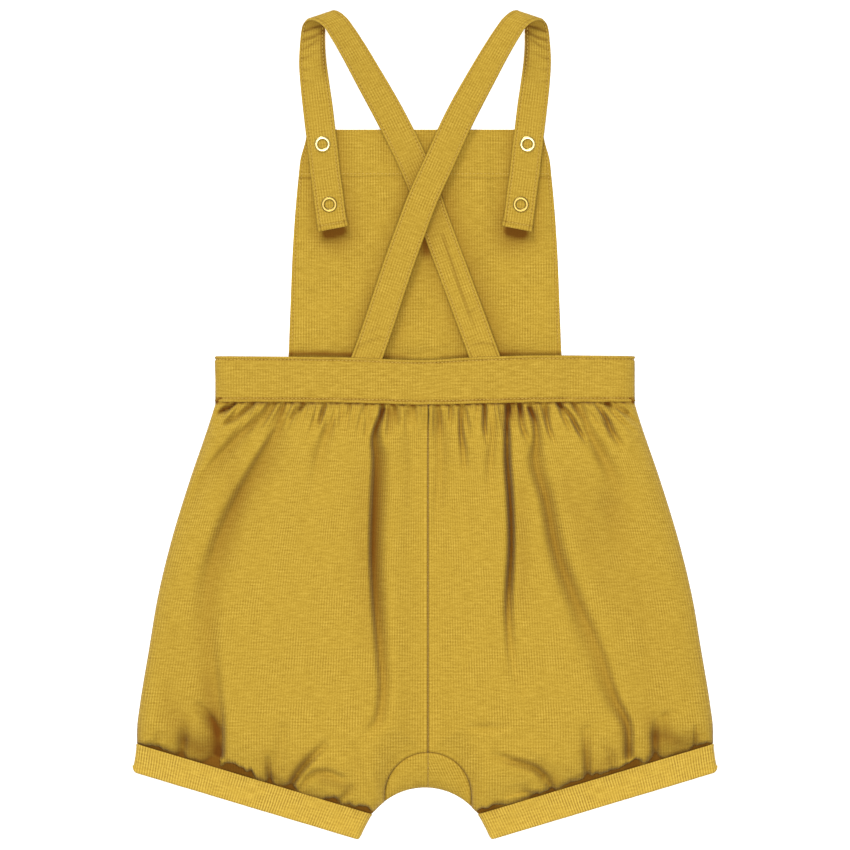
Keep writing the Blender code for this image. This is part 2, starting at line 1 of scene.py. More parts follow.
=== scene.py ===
"""Kids dungarees in mustard waffle cotton, laid flat with the back up, on a pale floor.

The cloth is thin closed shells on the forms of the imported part: legs gathered into a waistband and into
turned-up cuffs, a gusset, a bib and two crossed straps that loop over at the shoulders and snap to the bib.
Lengths are millimetres until a mesh is made. +Y runs to the straps and +Z is up.
"""

import math
from collections import namedtuple

import bpy
import numpy as np
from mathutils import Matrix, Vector, noise


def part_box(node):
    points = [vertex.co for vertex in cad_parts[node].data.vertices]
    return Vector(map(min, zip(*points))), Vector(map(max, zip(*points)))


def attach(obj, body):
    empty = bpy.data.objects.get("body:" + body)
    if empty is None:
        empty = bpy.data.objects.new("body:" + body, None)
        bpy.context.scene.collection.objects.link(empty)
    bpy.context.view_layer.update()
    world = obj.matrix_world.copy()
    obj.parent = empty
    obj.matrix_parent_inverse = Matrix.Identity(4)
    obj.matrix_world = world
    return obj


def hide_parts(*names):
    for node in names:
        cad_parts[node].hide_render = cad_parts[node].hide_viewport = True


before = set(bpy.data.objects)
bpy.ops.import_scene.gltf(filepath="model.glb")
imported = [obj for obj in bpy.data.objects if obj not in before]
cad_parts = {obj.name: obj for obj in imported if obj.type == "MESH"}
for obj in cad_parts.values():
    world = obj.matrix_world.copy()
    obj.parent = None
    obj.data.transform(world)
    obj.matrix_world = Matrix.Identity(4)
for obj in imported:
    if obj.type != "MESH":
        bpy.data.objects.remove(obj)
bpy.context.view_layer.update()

MM = 0.001

# Cloth walls
SINGLE = 0.9
DOUBLE = 1.4
TURNED_EDGE = 0.6  # a turned edge is round over this share of its wall
EDGE_LEFT = 0.25  # and this much of the wall's half thickness is left at its very edge
THREAD = 0.24  # radius of the sewing thread
RIB = 1.6  # spacing of the weave's ribs
BAR = 1.9  # and of its finer bars across
BAR_HEIGHT = 0.08
SLUB = 1.1  # height of the slubs, in the same measure as the bars' height

# Unevenness of the weave, in cycles to the metre
WANDER = 160.0  # the ribs' sideways wander
SLUB_CYCLES = (140.0, 900.0, 1.0)  # slubs are longer across the cloth than down it
YARN_CYCLES = 1100.0
PATCH_CYCLES = 60.0  # patches where the weave stands out more or less

# Waistband
WAIST_HALF = 125.8
BAND_TOP = 8.6
BAND_ROLL = 9.0
BAND_FOOT = 2.0
FRONT_BAND_LOW = 12.3
FRONT_BAND_HIGH = 38.0
FRONT_BAND_WALL = 1.6
BAND_DEPTH = 27.0
BAND_STEPS = 290
BAND_ROLL_STEPS = 22
BAND_LOW_STITCH = 2.2  # from the lower edge to its stitching
BAND_TOP_STITCH = 1.9
BAND_GROOVE_WIDTH = 0.42
BAND_LOW_SHADE = 1.5
BAND_TOP_SHADE = 1.1
BandEdge = namedtuple("BandEdge", "x low high")
BACK_BAND = (
    BandEdge(-125.7, 13.8, 41.3),
    BandEdge(-42.0, 13.2, 40.3),
    BandEdge(3.0, 12.1, 39.0),
    BandEdge(25.0, 12.6, 40.3),
    BandEdge(57.0, 13.4, 41.5),
    BandEdge(125.7, 13.8, 41.3),
)

# Legs
SideRow = namedtuple("SideRow", "y half")
SIDE = (
    SideRow(14.0, 125.3),
    SideRow(2.7, 128.8),
    SideRow(-33.3, 141.1),
    SideRow(-69.3, 152.1),
    SideRow(-105.3, 160.7),
    SideRow(-132.3, 165.2),
    SideRow(-168.3, 171.1),
    SideRow(-180.0, 172.6),
    SideRow(-190.8, 172.8),
)
CENTRE_X = 1.8
SEAM = 0.3  # the groove between two panels sewn together
CLOSED_SEAM = 0.04  # and where no light comes through it
ROW_LEVEL_OUTER = -150.0
LEG_CUT_WIDTH = 168.0  # width of one leg's cloth, which its ribs divide evenly
CROWN = 15.6
TOP_RISE = 26.0
CUFF_RISE = 24.0
BAND_ENTRY = 6.0  # height at which the cloth comes out under the waistband
BAND_ENTRY_REACH = 2.6  # and how far below the waistband it has risen from there
BAND_CROWN = 8.4  # how high it stands at the waistband
CUFF_CROWN = 9.6  # and just above the cuff
CUFF_MOUTH = 5.2  # height of the cloth inside the cuff
LOWEST = 1.9
UNDER_BAND = (3.0, 1.5, 0.6)  # how far the cloth goes on under the waistband
IN_CUFF = (0.6, 1.8, 3.2, 4.6)  # and into the cuff
CUFF_NARROWING = 0.012  # share of its width that it loses there for each millimetre
PUCKER_REACH = 24.0  # how far below the waistband its small gathers run
SEAM_GROOVE = 0.9
SEAM_BEAD = 0.18
EdgeRow = namedtuple("EdgeRow", "down height reach round")
OUTER_EDGE = (
    EdgeRow(0.0, 2.0, 9.0, 1.0),
    EdgeRow(0.15, 1.5, 18.0, 1.0),
    EdgeRow(0.5, 1.4, 27.0, 1.0),
    EdgeRow(0.85, 1.4, 20.0, 1.0),
    EdgeRow(1.0, 1.4, 4.5, 1.0),
)
INNER_EDGE = (
    EdgeRow(0.0, 7.8, 30.0, 0.0),
    EdgeRow(0.3, 9.6, 34.0, 0.0),
    EdgeRow(0.62, 8.8, 28.0, 0.0),
    EdgeRow(0.8, 6.8, 18.0, 0.3),
    EdgeRow(0.92, 3.8, 9.0, 0.9),
    EdgeRow(1.0, 2.3, 4.5, 1.0),
)

# Creases of the cloth. Each runs down its path with depths from its start to its end, and falls off over half
# widths to the west and to the east, which may change along it. A negative depth is a ridge.
Crease = namedtuple("Crease", "path depth west east")
CREASES = {
    "left": (
        Crease(((-152.0, -130.0), (-154.0, -172.0)), (1.6, 3.0), (9.0,), (14.0,)),
        Crease(((-112.8, 13.4), (-118.0, 10.2), (-127.0, 6.4)), (5.2, 6.7, 5.8), (1.6, 1.8), (1.2, 1.4)),
        Crease(
            ((-102.6, 12.9), (-106.2, 9.6), (-115.0, 3.2), (-124.5, 0.0)),
            (6.4, 6.2, 4.2, 1.4), (1.7,), (1.1, 1.4),
        ),
        Crease(
            (
                (-93.4, 12.2), (-98.0, 5.6), (-108.4, -3.6), (-124.6, -21.0), (-141.0, -43.0),
                (-149.0, -58.0),
            ),
            (5.0, 5.0, 4.8, 4.6, 3.0, 0.6), (1.4, 2.4, 3.0, 4.0), (1.4, 3.4, 8.0, 9.0),
        ),
        Crease(((-83.6, 12.0), (-87.6, 1.8)), (5.2, 2.2), (1.2,), (1.1,)),
        Crease(
            (
                (-84.4, 8.6), (-89.6, -3.6), (-99.6, -21.0), (-112.8, -45.0), (-125.4, -75.0),
                (-130.4, -105.0), (-127.8, -135.0), (-124.2, -165.0), (-122.2, -182.0), (-122.6, -198.0),
            ),
            (2.4, 5.0, 6.6, 6.8, 6.2, 5.0, 4.4, 5.2, 7.4, 7.6),
            (2.2, 1.8, 2.0, 3.0, 4.4, 8.0, 11.0, 13.0, 12.0, 9.0),
            (2.0, 7.0, 14.0, 14.0, 13.0, 10.0, 4.6, 3.8, 2.8, 2.2),
        ),
        Crease(((-100.0, -38.0), (-106.0, -48.0), (-117.0, -76.0)), (-1.0, -1.4, -0.4), (5.0,), (7.0,)),
        Crease(((-71.6, 12.4), (-76.6, 8.0), (-81.0, 2.4)), (5.4, 5.4, 2.2), (1.8,), (1.1,)),
        Crease(((-59.4, 11.4), (-62.8, 1.6)), (5.4, 3.4), (1.1,), (1.3,)),
        Crease(
            ((-52.6, 6.6), (-58.6, -4.0), (-63.6, -21.0), (-66.0, -44.0)),
            (1.4, 3.4, 3.0, 0.4), (2.6, 3.0, 5.0), (4.0, 5.0, 6.0),
        ),
        Crease(((-35.2, 12.2), (-35.4, 2.0), (-35.6, -8.0)), (4.1, 4.1, 1.2), (1.3,), (1.3,)),
        Crease(((-44.6, 12.2), (-44.2, 6.0)), (3.5, 0.6), (1.4,), (1.4,)),
        Crease(((-64.0, 12.6), (-66.0, 8.0)), (3.2, 0.6), (1.3,), (1.3,)),
        Crease(
            (
                (-25.0, 9.8), (-27.8, 2.0), (-30.0, -4.0), (-29.6, -21.0), (-30.4, -45.0), (-31.2, -75.0),
                (-29.8, -105.0), (-27.0, -135.0), (-25.8, -165.0), (-28.4, -177.0), (-34.0, -184.0),
            ),
            (5.4, 7.6, 8.6, 9.6, 10.2, 10.4, 9.2, 7.0, 5.2, 4.0, 1.0),
            (1.4, 1.5, 1.5, 2.0, 2.2, 2.0, 2.2, 2.6, 2.8, 2.8, 3.0),
            (1.8, 2.0, 3.4, 7.0, 7.4, 6.6, 6.0, 5.0, 4.6, 4.0, 3.0),
        ),
        Crease(
            ((-36.0, -14.0), (-38.0, -45.0), (-38.0, -100.0), (-34.0, -130.0)),
            (0.6, 1.8, 1.6, 0.2), (8.0,), (5.0,),
        ),
        Crease(((-22.4, 8.4), (-22.0, -2.0), (-22.6, -10.0)), (3.8, 4.1, 0.9), (1.6,), (2.2,)),
        Crease(((-17.6, 11.4), (-17.0, 1.0), (-17.4, -6.0)), (3.8, 2.9, 0.4), (1.4,), (1.6,)),
        Crease(((-9.6, 9.0), (-8.6, -20.0), (-8.4, -70.0)), (0.8, 1.0, 0.2), (3.0,), (4.0,)),
        Crease(
            ((-60.0, -191.4), (-66.0, -197.4), (-71.4, -203.0), (-80.8, -216.4)),
            (2.0, 4.4, 6.4, 7.4), (3.0, 2.4), (2.2, 1.8),
        ),
        Crease(((-68.0, -204.0), (-76.4, -218.2)), (-0.8, -1.2), (1.6,), (1.6,)),
        Crease(
            ((-74.4, -217.2), (-69.6, -210.8), (-60.0, -207.6), (-50.0, -210.6)),
            (3.0, 3.8, 3.4, 1.4), (1.8,), (2.4,),
        ),
        Crease(((-58.8, -224.6), (-50.0, -223.4), (-43.8, -217.2)), (3.6, 3.6, 1.2), (1.6,), (2.0,)),
        Crease(((-93.6, -199.6), (-93.4, -207.0), (-92.8, -214.0)), (2.2, 4.6, 6.0), (1.8,), (1.6,)),
        Crease(((-84.6, -182.0), (-86.6, -197.0), (-89.0, -212.0)), (1.2, 3.0, 2.0), (4.4,), (4.0,)),
        Crease(((-144.0, -180.0), (-144.6, -189.0), (-146.0, -198.0)), (1.2, 5.2, 4.0), (3.6,), (3.0,)),
        Crease(((-150.0, -190.0), (-136.0, -192.0), (-125.0, -196.0)), (1.6, 3.0, 2.6), (7.0,), (7.0,)),
        Crease(((-157.0, -176.0), (-159.0, -186.0), (-161.5, -194.0)), (0.4, 2.0, 3.0), (3.0,), (3.0,)),
        Crease(((-134.0, -168.0), (-128.0, -176.0), (-123.0, -183.0)), (1.6, 3.4, 2.0), (4.0,), (2.4,)),
        Crease(((-44.4, -194.0), (-40.0, -206.0), (-37.0, -216.0)), (0.8, 2.0, 1.2), (4.0,), (4.0,)),
        Crease(((-52.0, -200.0), (-50.0, -206.0)), (-0.6, -1.2), (4.0,), (4.0,)),
    ),
    "right": (
        Crease(((112.0, -50.0), (130.0, -110.0), (140.0, -165.0)), (2.4, 3.0, 2.6), (18.0,), (20.0,)),
        Crease(
            ((10.4, 8.0), (9.2, -3.0), (9.6, -21.0), (8.0, -45.0), (5.6, -66.0)),
            (1.4, 3.0, 2.8, 2.0, 0.3), (3.4,), (3.6,),
        ),
        Crease(
            ((22.2, 11.6), (21.8, 2.0), (21.8, -5.0), (22.8, -14.0), (23.6, -24.0)),
            (3.4, 6.0, 6.6, 4.4, 2.0), (1.4, 1.5, 2.4), (1.4, 1.6, 2.8),
        ),
        Crease(((23.6, -24.0), (24.6, -48.0), (27.0, -80.0)), (1.0, 1.4, 0.3), (3.0,), (4.0,)),
        Crease(((31.6, 11.6), (31.4, 4.4)), (4.3, 1.2), (1.3,), (1.3,)),
        Crease(((35.8, 11.8), (36.0, -3.0), (37.0, -10.0)), (4.9, 4.1, 1.4), (1.2,), (1.2,)),
        Crease(
            ((39.6, 10.4), (40.6, -3.0), (39.2, -21.0), (39.0, -44.0)),
            (2.8, 3.0, 3.2, 0.6), (1.4, 2.4, 3.4), (1.6, 3.4),
        ),
        Crease(((29.0, -20.0), (28.6, -48.0)), (0.8, 0.2), (2.4,), (2.4,)),
        Crease(
            (
                (49.4, 11.8), (49.2, -3.0), (49.4, -21.0), (51.0, -45.0), (51.6, -75.0), (50.4, -95.0),
                (49.8, -108.0), (50.2, -122.0), (51.4, -138.0), (56.0, -158.0),
            ),
            (6.4, 9.4, 10.6, 11.0, 10.8, 9.6, 7.2, 4.4, 2.4, 0.6),
            (1.7, 1.7, 1.9, 1.9, 2.1, 2.2, 2.4, 2.8),
            (1.7, 1.7, 1.9, 1.9, 2.4, 2.8, 3.4, 4.0),
        ),
        Crease(((56.0, -40.0), (57.0, -75.0), (56.0, -112.0)), (1.2, 2.2, 1.0), (4.0,), (7.0,)),
        Crease(
            ((56.4, 12.0), (57.4, 3.4), (59.0, -3.6), (62.0, -10.0)),
            (4.9, 4.9, 4.6, 1.4), (1.3, 1.8), (1.4, 2.0),
        ),
        Crease(
            (
                (62.2, 10.4), (65.8, 2.0), (66.6, -5.0), (66.0, -21.0), (72.6, -45.0), (78.6, -75.0),
                (90.0, -105.0), (103.4, -135.0), (114.0, -165.0), (121.0, -179.0), (122.0, -198.0),
            ),
            (4.6, 5.4, 6.0, 6.4, 7.4, 7.8, 6.8, 5.4, 6.2, 6.6, 7.0),
            (1.5, 1.6, 2.0, 3.8, 3.8, 4.2, 5.2, 9.0, 5.4, 3.0, 2.6),
            (1.5, 1.7, 2.2, 5.0, 4.4, 4.8, 4.4, 3.6, 2.8, 2.6, 2.4),
        ),
        Crease(((72.6, 11.2), (74.2, -3.0), (78.0, -12.0)), (4.1, 3.2, 0.9), (1.3,), (1.4,)),
        Crease(
            ((80.2, 13.0), (86.2, 6.8), (91.8, -3.0), (95.8, -9.4)),
            (5.2, 6.7, 6.4, 2.0), (1.5,), (1.5,),
        ),
        Crease(
            ((89.8, 12.0), (94.6, 5.0), (97.6, -3.0), (106.6, -20.0), (115.0, -36.0)),
            (2.4, 3.6, 5.0, 5.0, 1.6), (2.0, 2.4, 3.6, 4.4), (2.0, 2.6, 4.2, 5.0),
        ),
        Crease(
            ((104.8, 11.2), (108.6, 3.2), (111.6, -4.0), (117.6, -12.6)),
            (4.1, 5.5, 5.8, 1.2), (1.8, 2.2), (1.6, 2.0),
        ),
        Crease(
            ((108.4, 12.8), (114.4, 10.4), (118.4, 7.6), (124.0, 8.6)),
            (4.9, 4.9, 2.9, 2.0), (1.3,), (1.3,),
        ),
        Crease(((109.0, -34.0), (111.6, -48.0), (116.0, -76.0)), (1.4, 3.0, 0.8), (8.0,), (8.0,)),
        Crease(((117.4, 3.0), (122.0, -10.0)), (-0.8, -0.6), (3.0,), (3.0,)),
        Crease(((138.4, -174.0), (137.4, -186.0), (137.8, -199.0)), (0.8, 4.8, 5.4), (2.4,), (2.6,)),
        Crease(((139.0, -186.0), (150.0, -190.0), (160.0, -190.0)), (2.6, 2.6, 2.0), (7.0,), (7.0,)),
        Crease(((143.8, -174.0), (145.6, -186.0)), (2.2, 1.4), (2.8,), (3.4,)),
        Crease(((161.6, -180.6), (161.8, -188.0), (161.6, -194.6)), (1.2, 2.6, 2.6), (1.2,), (1.2,)),
        Crease(((96.0, -182.0), (96.8, -196.0), (97.4, -212.0)), (1.6, 4.0, 6.0), (3.0, 2.2), (3.0, 2.0)),
        Crease(((108.0, -190.0), (112.0, -200.0), (114.6, -209.0)), (0.8, 2.4, 3.6), (2.2,), (2.2,)),
        Crease(
            ((42.6, -197.4), (52.8, -201.0), (66.6, -205.8), (72.6, -211.8), (76.0, -218.6)),
            (1.4, 3.6, 5.4, 5.8, 5.0), (2.4,), (2.4,),
        ),
        Crease(((62.0, -192.0), (69.0, -196.4), (77.0, -203.0)), (-0.8, -1.8, -0.8), (3.0,), (3.4,)),
        Crease(((48.6, -221.0), (60.0, -219.6), (66.6, -221.4)), (1.6, 3.2, 3.4), (1.8,), (1.8,)),
        Crease(((27.0, -180.4), (38.0, -181.0), (48.6, -180.4)), (1.0, 2.0, 0.6), (2.4,), (2.4,)),
    ),
}

# Where the leg goes into its cuff: the height it enters at, how far the dark hollow reaches above the cuff's
# lip, and how far the cloth takes to rise from there
Gather = namedtuple("Gather", "x low hole reach")
GATHERS = {
    "left": (
        Gather(-172.6, 3.0, 0.0, 4.0),
        Gather(-166.0, 2.4, 0.6, 4.0),
        Gather(-161.0, 2.0, 1.8, 3.5),
        Gather(-156.0, 2.6, 0.8, 5.0),
        Gather(-150.0, 3.6, 0.2, 9.0),
        Gather(-140.0, 3.4, 0.2, 12.0),
        Gather(-132.0, 2.8, 0.4, 12.0),
        Gather(-126.0, 2.2, 1.0, 10.0),
        Gather(-121.5, 1.9, 2.6, 5.0),
        Gather(-118.0, 1.9, 3.8, 3.0),
        Gather(-112.0, 1.9, 4.4, 2.4),
        Gather(-107.5, 2.0, 3.2, 2.6),
        Gather(-104.5, 1.9, 3.4, 2.6),
        Gather(-101.0, 3.6, 0.8, 4.0),
        Gather(-95.0, 3.4, 0.3, 8.0),
        Gather(-88.0, 3.6, 0.3, 8.0),
        Gather(-83.0, 2.4, 1.4, 5.0),
        Gather(-79.0, 2.2, 1.8, 4.0),
        Gather(-75.0, 4.6, 0.2, 5.0),
        Gather(-66.0, 5.2, 0.0, 7.0),
        Gather(-60.0, 4.0, 0.3, 6.0),
        Gather(-55.0, 2.2, 1.6, 4.0),
        Gather(-49.0, 3.4, 0.6, 5.0),
        Gather(-44.0, 2.2, 1.6, 4.0),
        Gather(-38.0, 1.9, 2.6, 3.0),
        Gather(-31.0, 1.8, 1.6, 3.0),
    ),
    "right": (
        Gather(172.6, 3.0, 0.2, 4.0),
        Gather(168.0, 2.2, 1.4, 3.0),
        Gather(162.0, 2.4, 1.4, 4.0),
        Gather(158.0, 3.4, 0.3, 9.0),
        Gather(150.0, 3.2, 0.3, 12.0),
        Gather(143.0, 3.0, 0.4, 12.0),
        Gather(138.5, 2.2, 1.6, 8.0),
        Gather(134.0, 2.4, 1.4, 6.0),
        Gather(131.0, 4.4, 0.5, 4.0),
        Gather(128.5, 2.4, 2.4, 3.0),
        Gather(125.0, 1.9, 4.2, 2.6),
        Gather(121.5, 1.9, 3.4, 2.8),
        Gather(117.0, 2.6, 2.0, 3.0),
        Gather(110.0, 2.4, 2.0, 3.4),
        Gather(104.0, 2.2, 2.2, 3.4),
        Gather(99.0, 1.9, 2.6, 3.6),
        Gather(94.0, 2.2, 2.0, 6.0),
        Gather(88.0, 2.0, 2.2, 7.0),
        Gather(83.0, 2.6, 1.2, 6.0),
        Gather(79.0, 4.2, 0.4, 4.0),
        Gather(74.0, 2.2, 1.8, 3.4),
        Gather(70.0, 2.8, 1.0, 4.0),
        Gather(64.0, 2.8, 1.2, 4.0),
        Gather(56.0, 4.6, 0.3, 5.0),
        Gather(47.0, 3.2, 0.8, 4.0),
        Gather(41.0, 1.9, 2.4, 3.0),
        Gather(31.0, 1.8, 2.0, 3.0),
    ),
}

# The front of the legs lies on the floor: its creases stand up off it a little
FRONT_CREASES = {
    "left": (
        Crease(((-112.0, 12.0), (-122.0, -8.0), (-134.0, -36.0)), (0.9, 0.8, 0.2), (2.4,), (3.0,)),
        Crease(((-92.0, 12.0), (-98.0, -20.0), (-112.0, -70.0)), (1.0, 1.2, 0.3), (3.0,), (4.0,)),
        Crease(((-74.0, 12.0), (-75.0, -10.0)), (0.9, 0.2), (1.8,), (1.8,)),
        Crease(((-58.0, 12.0), (-60.0, -40.0), (-64.0, -110.0)), (1.1, 1.3, 0.3), (2.6,), (3.4,)),
        Crease(((-43.0, 12.0), (-43.0, -6.0)), (0.9, 0.2), (1.6,), (1.6,)),
        Crease(((-24.0, 12.0), (-25.0, -30.0), (-22.0, -80.0)), (1.0, 1.1, 0.2), (2.4,), (2.8,)),
        Crease(((-134.0, -196.0), (-130.0, -176.0), (-126.0, -140.0)), (1.2, 1.0, 0.2), (3.0,), (3.0,)),
        Crease(((-104.0, -206.0), (-102.0, -190.0), (-98.0, -166.0)), (1.2, 1.0, 0.2), (2.6,), (2.6,)),
        Crease(((-74.0, -216.0), (-68.0, -200.0), (-62.0, -182.0)), (1.2, 0.9, 0.2), (2.6,), (2.6,)),
        Crease(((-50.0, -224.0), (-46.0, -212.0)), (1.0, 0.3), (2.0,), (2.0,)),
    ),
    "right": (
        Crease(((20.0, 12.0), (21.0, -18.0), (19.0, -60.0)), (1.0, 0.9, 0.2), (2.2,), (2.6,)),
        Crease(((38.0, 12.0), (39.0, -8.0)), (0.9, 0.2), (1.6,), (1.6,)),
        Crease(((54.0, 12.0), (58.0, -50.0), (66.0, -120.0)), (1.1, 1.3, 0.3), (3.0,), (3.4,)),
        Crease(((70.0, 12.0), (73.0, -12.0)), (0.9, 0.2), (1.8,), (1.8,)),
        Crease(((86.0, 12.0), (96.0, -24.0), (112.0, -72.0)), (1.0, 1.2, 0.3), (2.8,), (3.6,)),
        Crease(((108.0, 12.0), (118.0, -10.0), (130.0, -34.0)), (0.9, 0.8, 0.2), (2.4,), (2.8,)),
        Crease(((142.0, -194.0), (138.0, -172.0), (132.0, -138.0)), (1.2, 1.0, 0.2), (3.0,), (3.0,)),
        Crease(((112.0, -204.0), (108.0, -186.0), (104.0, -160.0)), (1.2, 1.0, 0.2), (2.6,), (2.6,)),
        Crease(((84.0, -212.0), (80.0, -196.0), (74.0, -176.0)), (1.2, 0.9, 0.2), (2.6,), (2.6,)),
        Crease(((56.0, -222.0), (52.0, -208.0)), (1.0, 0.3), (2.0,), (2.0,)),
    ),
}

# Broad painted shade on the back of the legs, where the cloth sinks away from the light between its folds
LEG_SHADES = {
    "left": (
        Crease(((-152.0, -168.0), (-143.0, -186.0), (-138.0, -196.0)), (0.1, 0.36, 0.55), (7.0,), (8.0,)),
        Crease(((-131.0, -150.0), (-126.0, -176.0), (-123.0, -196.0)), (0.1, 0.34, 0.5), (4.0,), (3.0,)),
        Crease(((-118.0, -10.0), (-114.0, -40.0), (-120.0, -74.0)), (0.1, 0.2, 0.1), (8.0,), (9.0,)),
        Crease(((-96.0, -196.0), (-92.0, -210.0)), (0.15, 0.4), (4.0,), (4.0,)),
        Crease(((-70.0, -198.0), (-80.0, -212.0)), (0.2, 0.4), (5.0,), (4.0,)),
        Crease(((-60.0, -211.0), (-46.0, -216.0)), (0.3, 0.3), (4.0,), (4.0,)),
        Crease(((-34.0, -30.0), (-35.0, -80.0), (-33.0, -130.0)), (0.14, 0.2, 0.1), (7.0,), (4.0,)),
    ),
    "right": (
        Crease(((130.0, -170.0), (138.0, -186.0), (139.0, -198.0)), (0.1, 0.34, 0.5), (6.0,), (5.0,)),
        Crease(((144.0, -186.0), (152.0, -190.0), (162.0, -188.0)), (0.36, 0.4, 0.34), (6.0,), (6.0,)),
        Crease(((118.0, -176.0), (122.0, -196.0)), (0.16, 0.5), (4.0,), (3.0,)),
        Crease(((96.0, -190.0), (97.0, -208.0)), (0.15, 0.4), (4.0,), (4.0,)),
        Crease(((112.0, -196.0), (106.0, -208.0)), (0.2, 0.36), (5.0,), (5.0,)),
        Crease(((50.0, -200.0), (70.0, -207.0), (78.0, -214.0)), (0.1, 0.3, 0.4), (4.0,), (4.0,)),
        Crease(((84.0, -36.0), (96.0, -70.0), (112.0, -110.0)), (0.14, 0.16, 0.06), (6.0,), (12.0,)),
        Crease(((57.0, -40.0), (58.0, -80.0), (58.0, -110.0)), (0.14, 0.18, 0.1), (3.0,), (5.0,)),
    ),
}

# Gusset
GUSSET_CENTRE_Y = -222.0
GUSSET_RADIUS = 26.0
ARCH_CENTRE_Y = -257.1
ARCH_RADIUS = 39.6
GUSSET_TIP_REACH = 26.0
GUSSET_FOOT = 1.4  # height of its edge at the arch
GUSSET_SEAM_HEIGHTS = (8.8, 6.8, 3.2)  # and of its round seam, from the middle to the tip
RIB_SLANT = {"left": 0.0, "right": 0.45}  # how far each half's ribs lean

# Cuffs: corners of the left one, mirrored for the right
CUFF_OUTER_TOP = (-172.8, -190.8)
CUFF_INNER_TOP = (-31.6, -233.0)
CUFF_OUTER_LOW = (-175.2, -207.6)
CUFF_INNER_LOW = (-39.2, -248.4)
CUFF_HEIGHT = 8.0
CUFF_CORNER = 3.0
CUFF_DEPTH = 17.0
CUFF_STEPS = 150

# Bib
BIB = (
    SideRow(177.2, 70.5),
    SideRow(170.0, 71.8),
    SideRow(160.0, 74.6),
    SideRow(149.0, 75.9),
    SideRow(127.0, 77.9),
    SideRow(106.0, 79.3),
    SideRow(70.0, 80.8),
    SideRow(38.3, 82.0),
)
BIB_HEM_DEPTH = 28.4
BIB_PUFF = 1.5  # how far the bib lifts off the floor between the straps that press it down
BIB_CREASES = (
    Crease(
        ((37.0, 38.0), (21.0, 81.0), (5.7, 122.4), (-4.6, 151.5), (-18.0, 179.0)),
        (2.2,), (11.0,), (11.0,),
    ),
    Crease(
        ((-36.0, 38.0), (-11.5, 108.3), (-0.4, 137.7), (9.0, 158.4), (18.6, 179.0)),
        (2.2,), (12.0,), (11.0,),
    ),
    Crease(((-62.9, 179.0), (-59.4, 149.0), (-55.0, 117.0)), (2.4,), (11.0,), (11.0,)),
    Crease(((62.9, 179.0), (59.4, 149.0), (55.0, 117.0)), (2.4,), (11.0,), (11.0,)),
    Crease(
        ((-82.0, 42.0), (-20.0, 41.0), (30.0, 41.0), (82.0, 42.0)),
        (2.4, 1.6, 1.6, 2.4), (5.0,), (5.0,),
    ),
    Crease(((-50.0, 176.0), (-42.0, 150.0), (-38.0, 128.0)), (0.6, 1.4, 0.4), (5.0,), (6.0,)),
    Crease(((40.0, 176.0), (41.0, 150.0), (44.0, 120.0)), (0.8, 1.6, 0.6), (4.0,), (7.0,)),
    Crease(((-34.0, 106.0), (-30.0, 84.0), (-36.0, 60.0)), (0.4, 1.4, 0.4), (6.0,), (4.0,)),
    Crease(((44.0, 108.0), (40.0, 84.0), (50.0, 60.0)), (0.4, 1.2, 0.4), (6.0,), (6.0,)),
    Crease(((4.0, 96.0), (2.0, 70.0), (4.0, 50.0)), (0.6, 1.2, 0.4), (5.0,), (5.0,)),
)
BIB_WALL = 1.1
BIB_HEM_WALL = 1.7
BIB_WIDTH = 164.0
HEM_ROWS = (-0.8, -0.4, -0.1, 0.1, 0.4, 0.9)  # rows of points close to the hem's edge
HEM_STITCH_IN = 1.8  # how far the hem's stitching lies from its lower edge

# Straps: the middle of the cloth from the waistband over the shoulder to the free end
Section = namedtuple("Section", "x y z turn tilt width")
UNDER_STRAP = (
    Section(38.3, 33.7, 6.0, 20, 0, 18.0),
    Section(35.4, 41.7, 6.2, 20, 0, 18.0),
    Section(21.0, 81.0, 4.8, 20, 0, 18.0),
    Section(5.7, 122.4, 3.4, 20, 0, 18.0),
    Section(-4.6, 151.5, 3.8, 23, 0, 18.0),
    Section(-19.1, 181.7, 4.8, 26, -5, 18.0),
)
OVER_STRAP = (
    Section(-37.2, 33.7, 6.0, 20, 0, 18.0),
    Section(-34.2, 41.7, 6.6, 20, 0, 18.0),
    Section(-11.5, 108.3, 6.6, 20, 0, 18.0),
    Section(-0.4, 137.7, 6.6, 22, 0, 18.0),
    Section(9.0, 158.4, 6.2, 26, 0, 18.0),
    Section(19.6, 181.7, 5.9, 27, -5, 18.0),
)
ROLL_AND_END = (
    Section(-34.9, 210.2, 7.4, 28, -16, 17.5),
    Section(-43.3, 224.9, 9.0, 29, -22, 17.0),
    Section(-49.4, 234.7, 9.8, 27, -24, 16.5),
    Section(-53.9, 241.0, 10.0, 23, -25, 16.2),
    Section(-58.4, 244.4, 9.0, 22, -20, 16.0),
    Section(-62.3, 245.2, 7.0, 19, -6, 16.0),
    Section(-65.2, 242.6, 5.2, 15, 10, 16.0),
    Section(-66.7, 238.3, 4.6, 10, 22, 16.0),
    Section(-67.3, 231.0, 4.4, 5, 24, 16.5),
    Section(-67.3, 217.3, 3.4, 4, 16, 17.2),
    Section(-66.1, 205.0, 2.4, 6, 8, 17.6),
    Section(-64.2, 190.0, 2.8, 7, 0, 18.0),
    Section(-62.4, 175.0, 5.2, 7, 0, 18.0),
    Section(-60.9, 163.0, 5.2, 7, 0, 18.0),
    Section(-59.4, 149.0, 4.6, 8, 0, 18.0),
    Section(-57.9, 138.0, 4.2, 8, 0, 18.0),
    Section(-57.1, 131.0, 4.2, 9, 0, 18.0),
    Section(-56.5, 126.5, 4.5, 9, 0, 18.0),
    Section(-55.8, 122.0, 5.7, 10, 0, 18.2),
    Section(-54.9, 117.4, 8.0, 11, 0, 18.4),
)
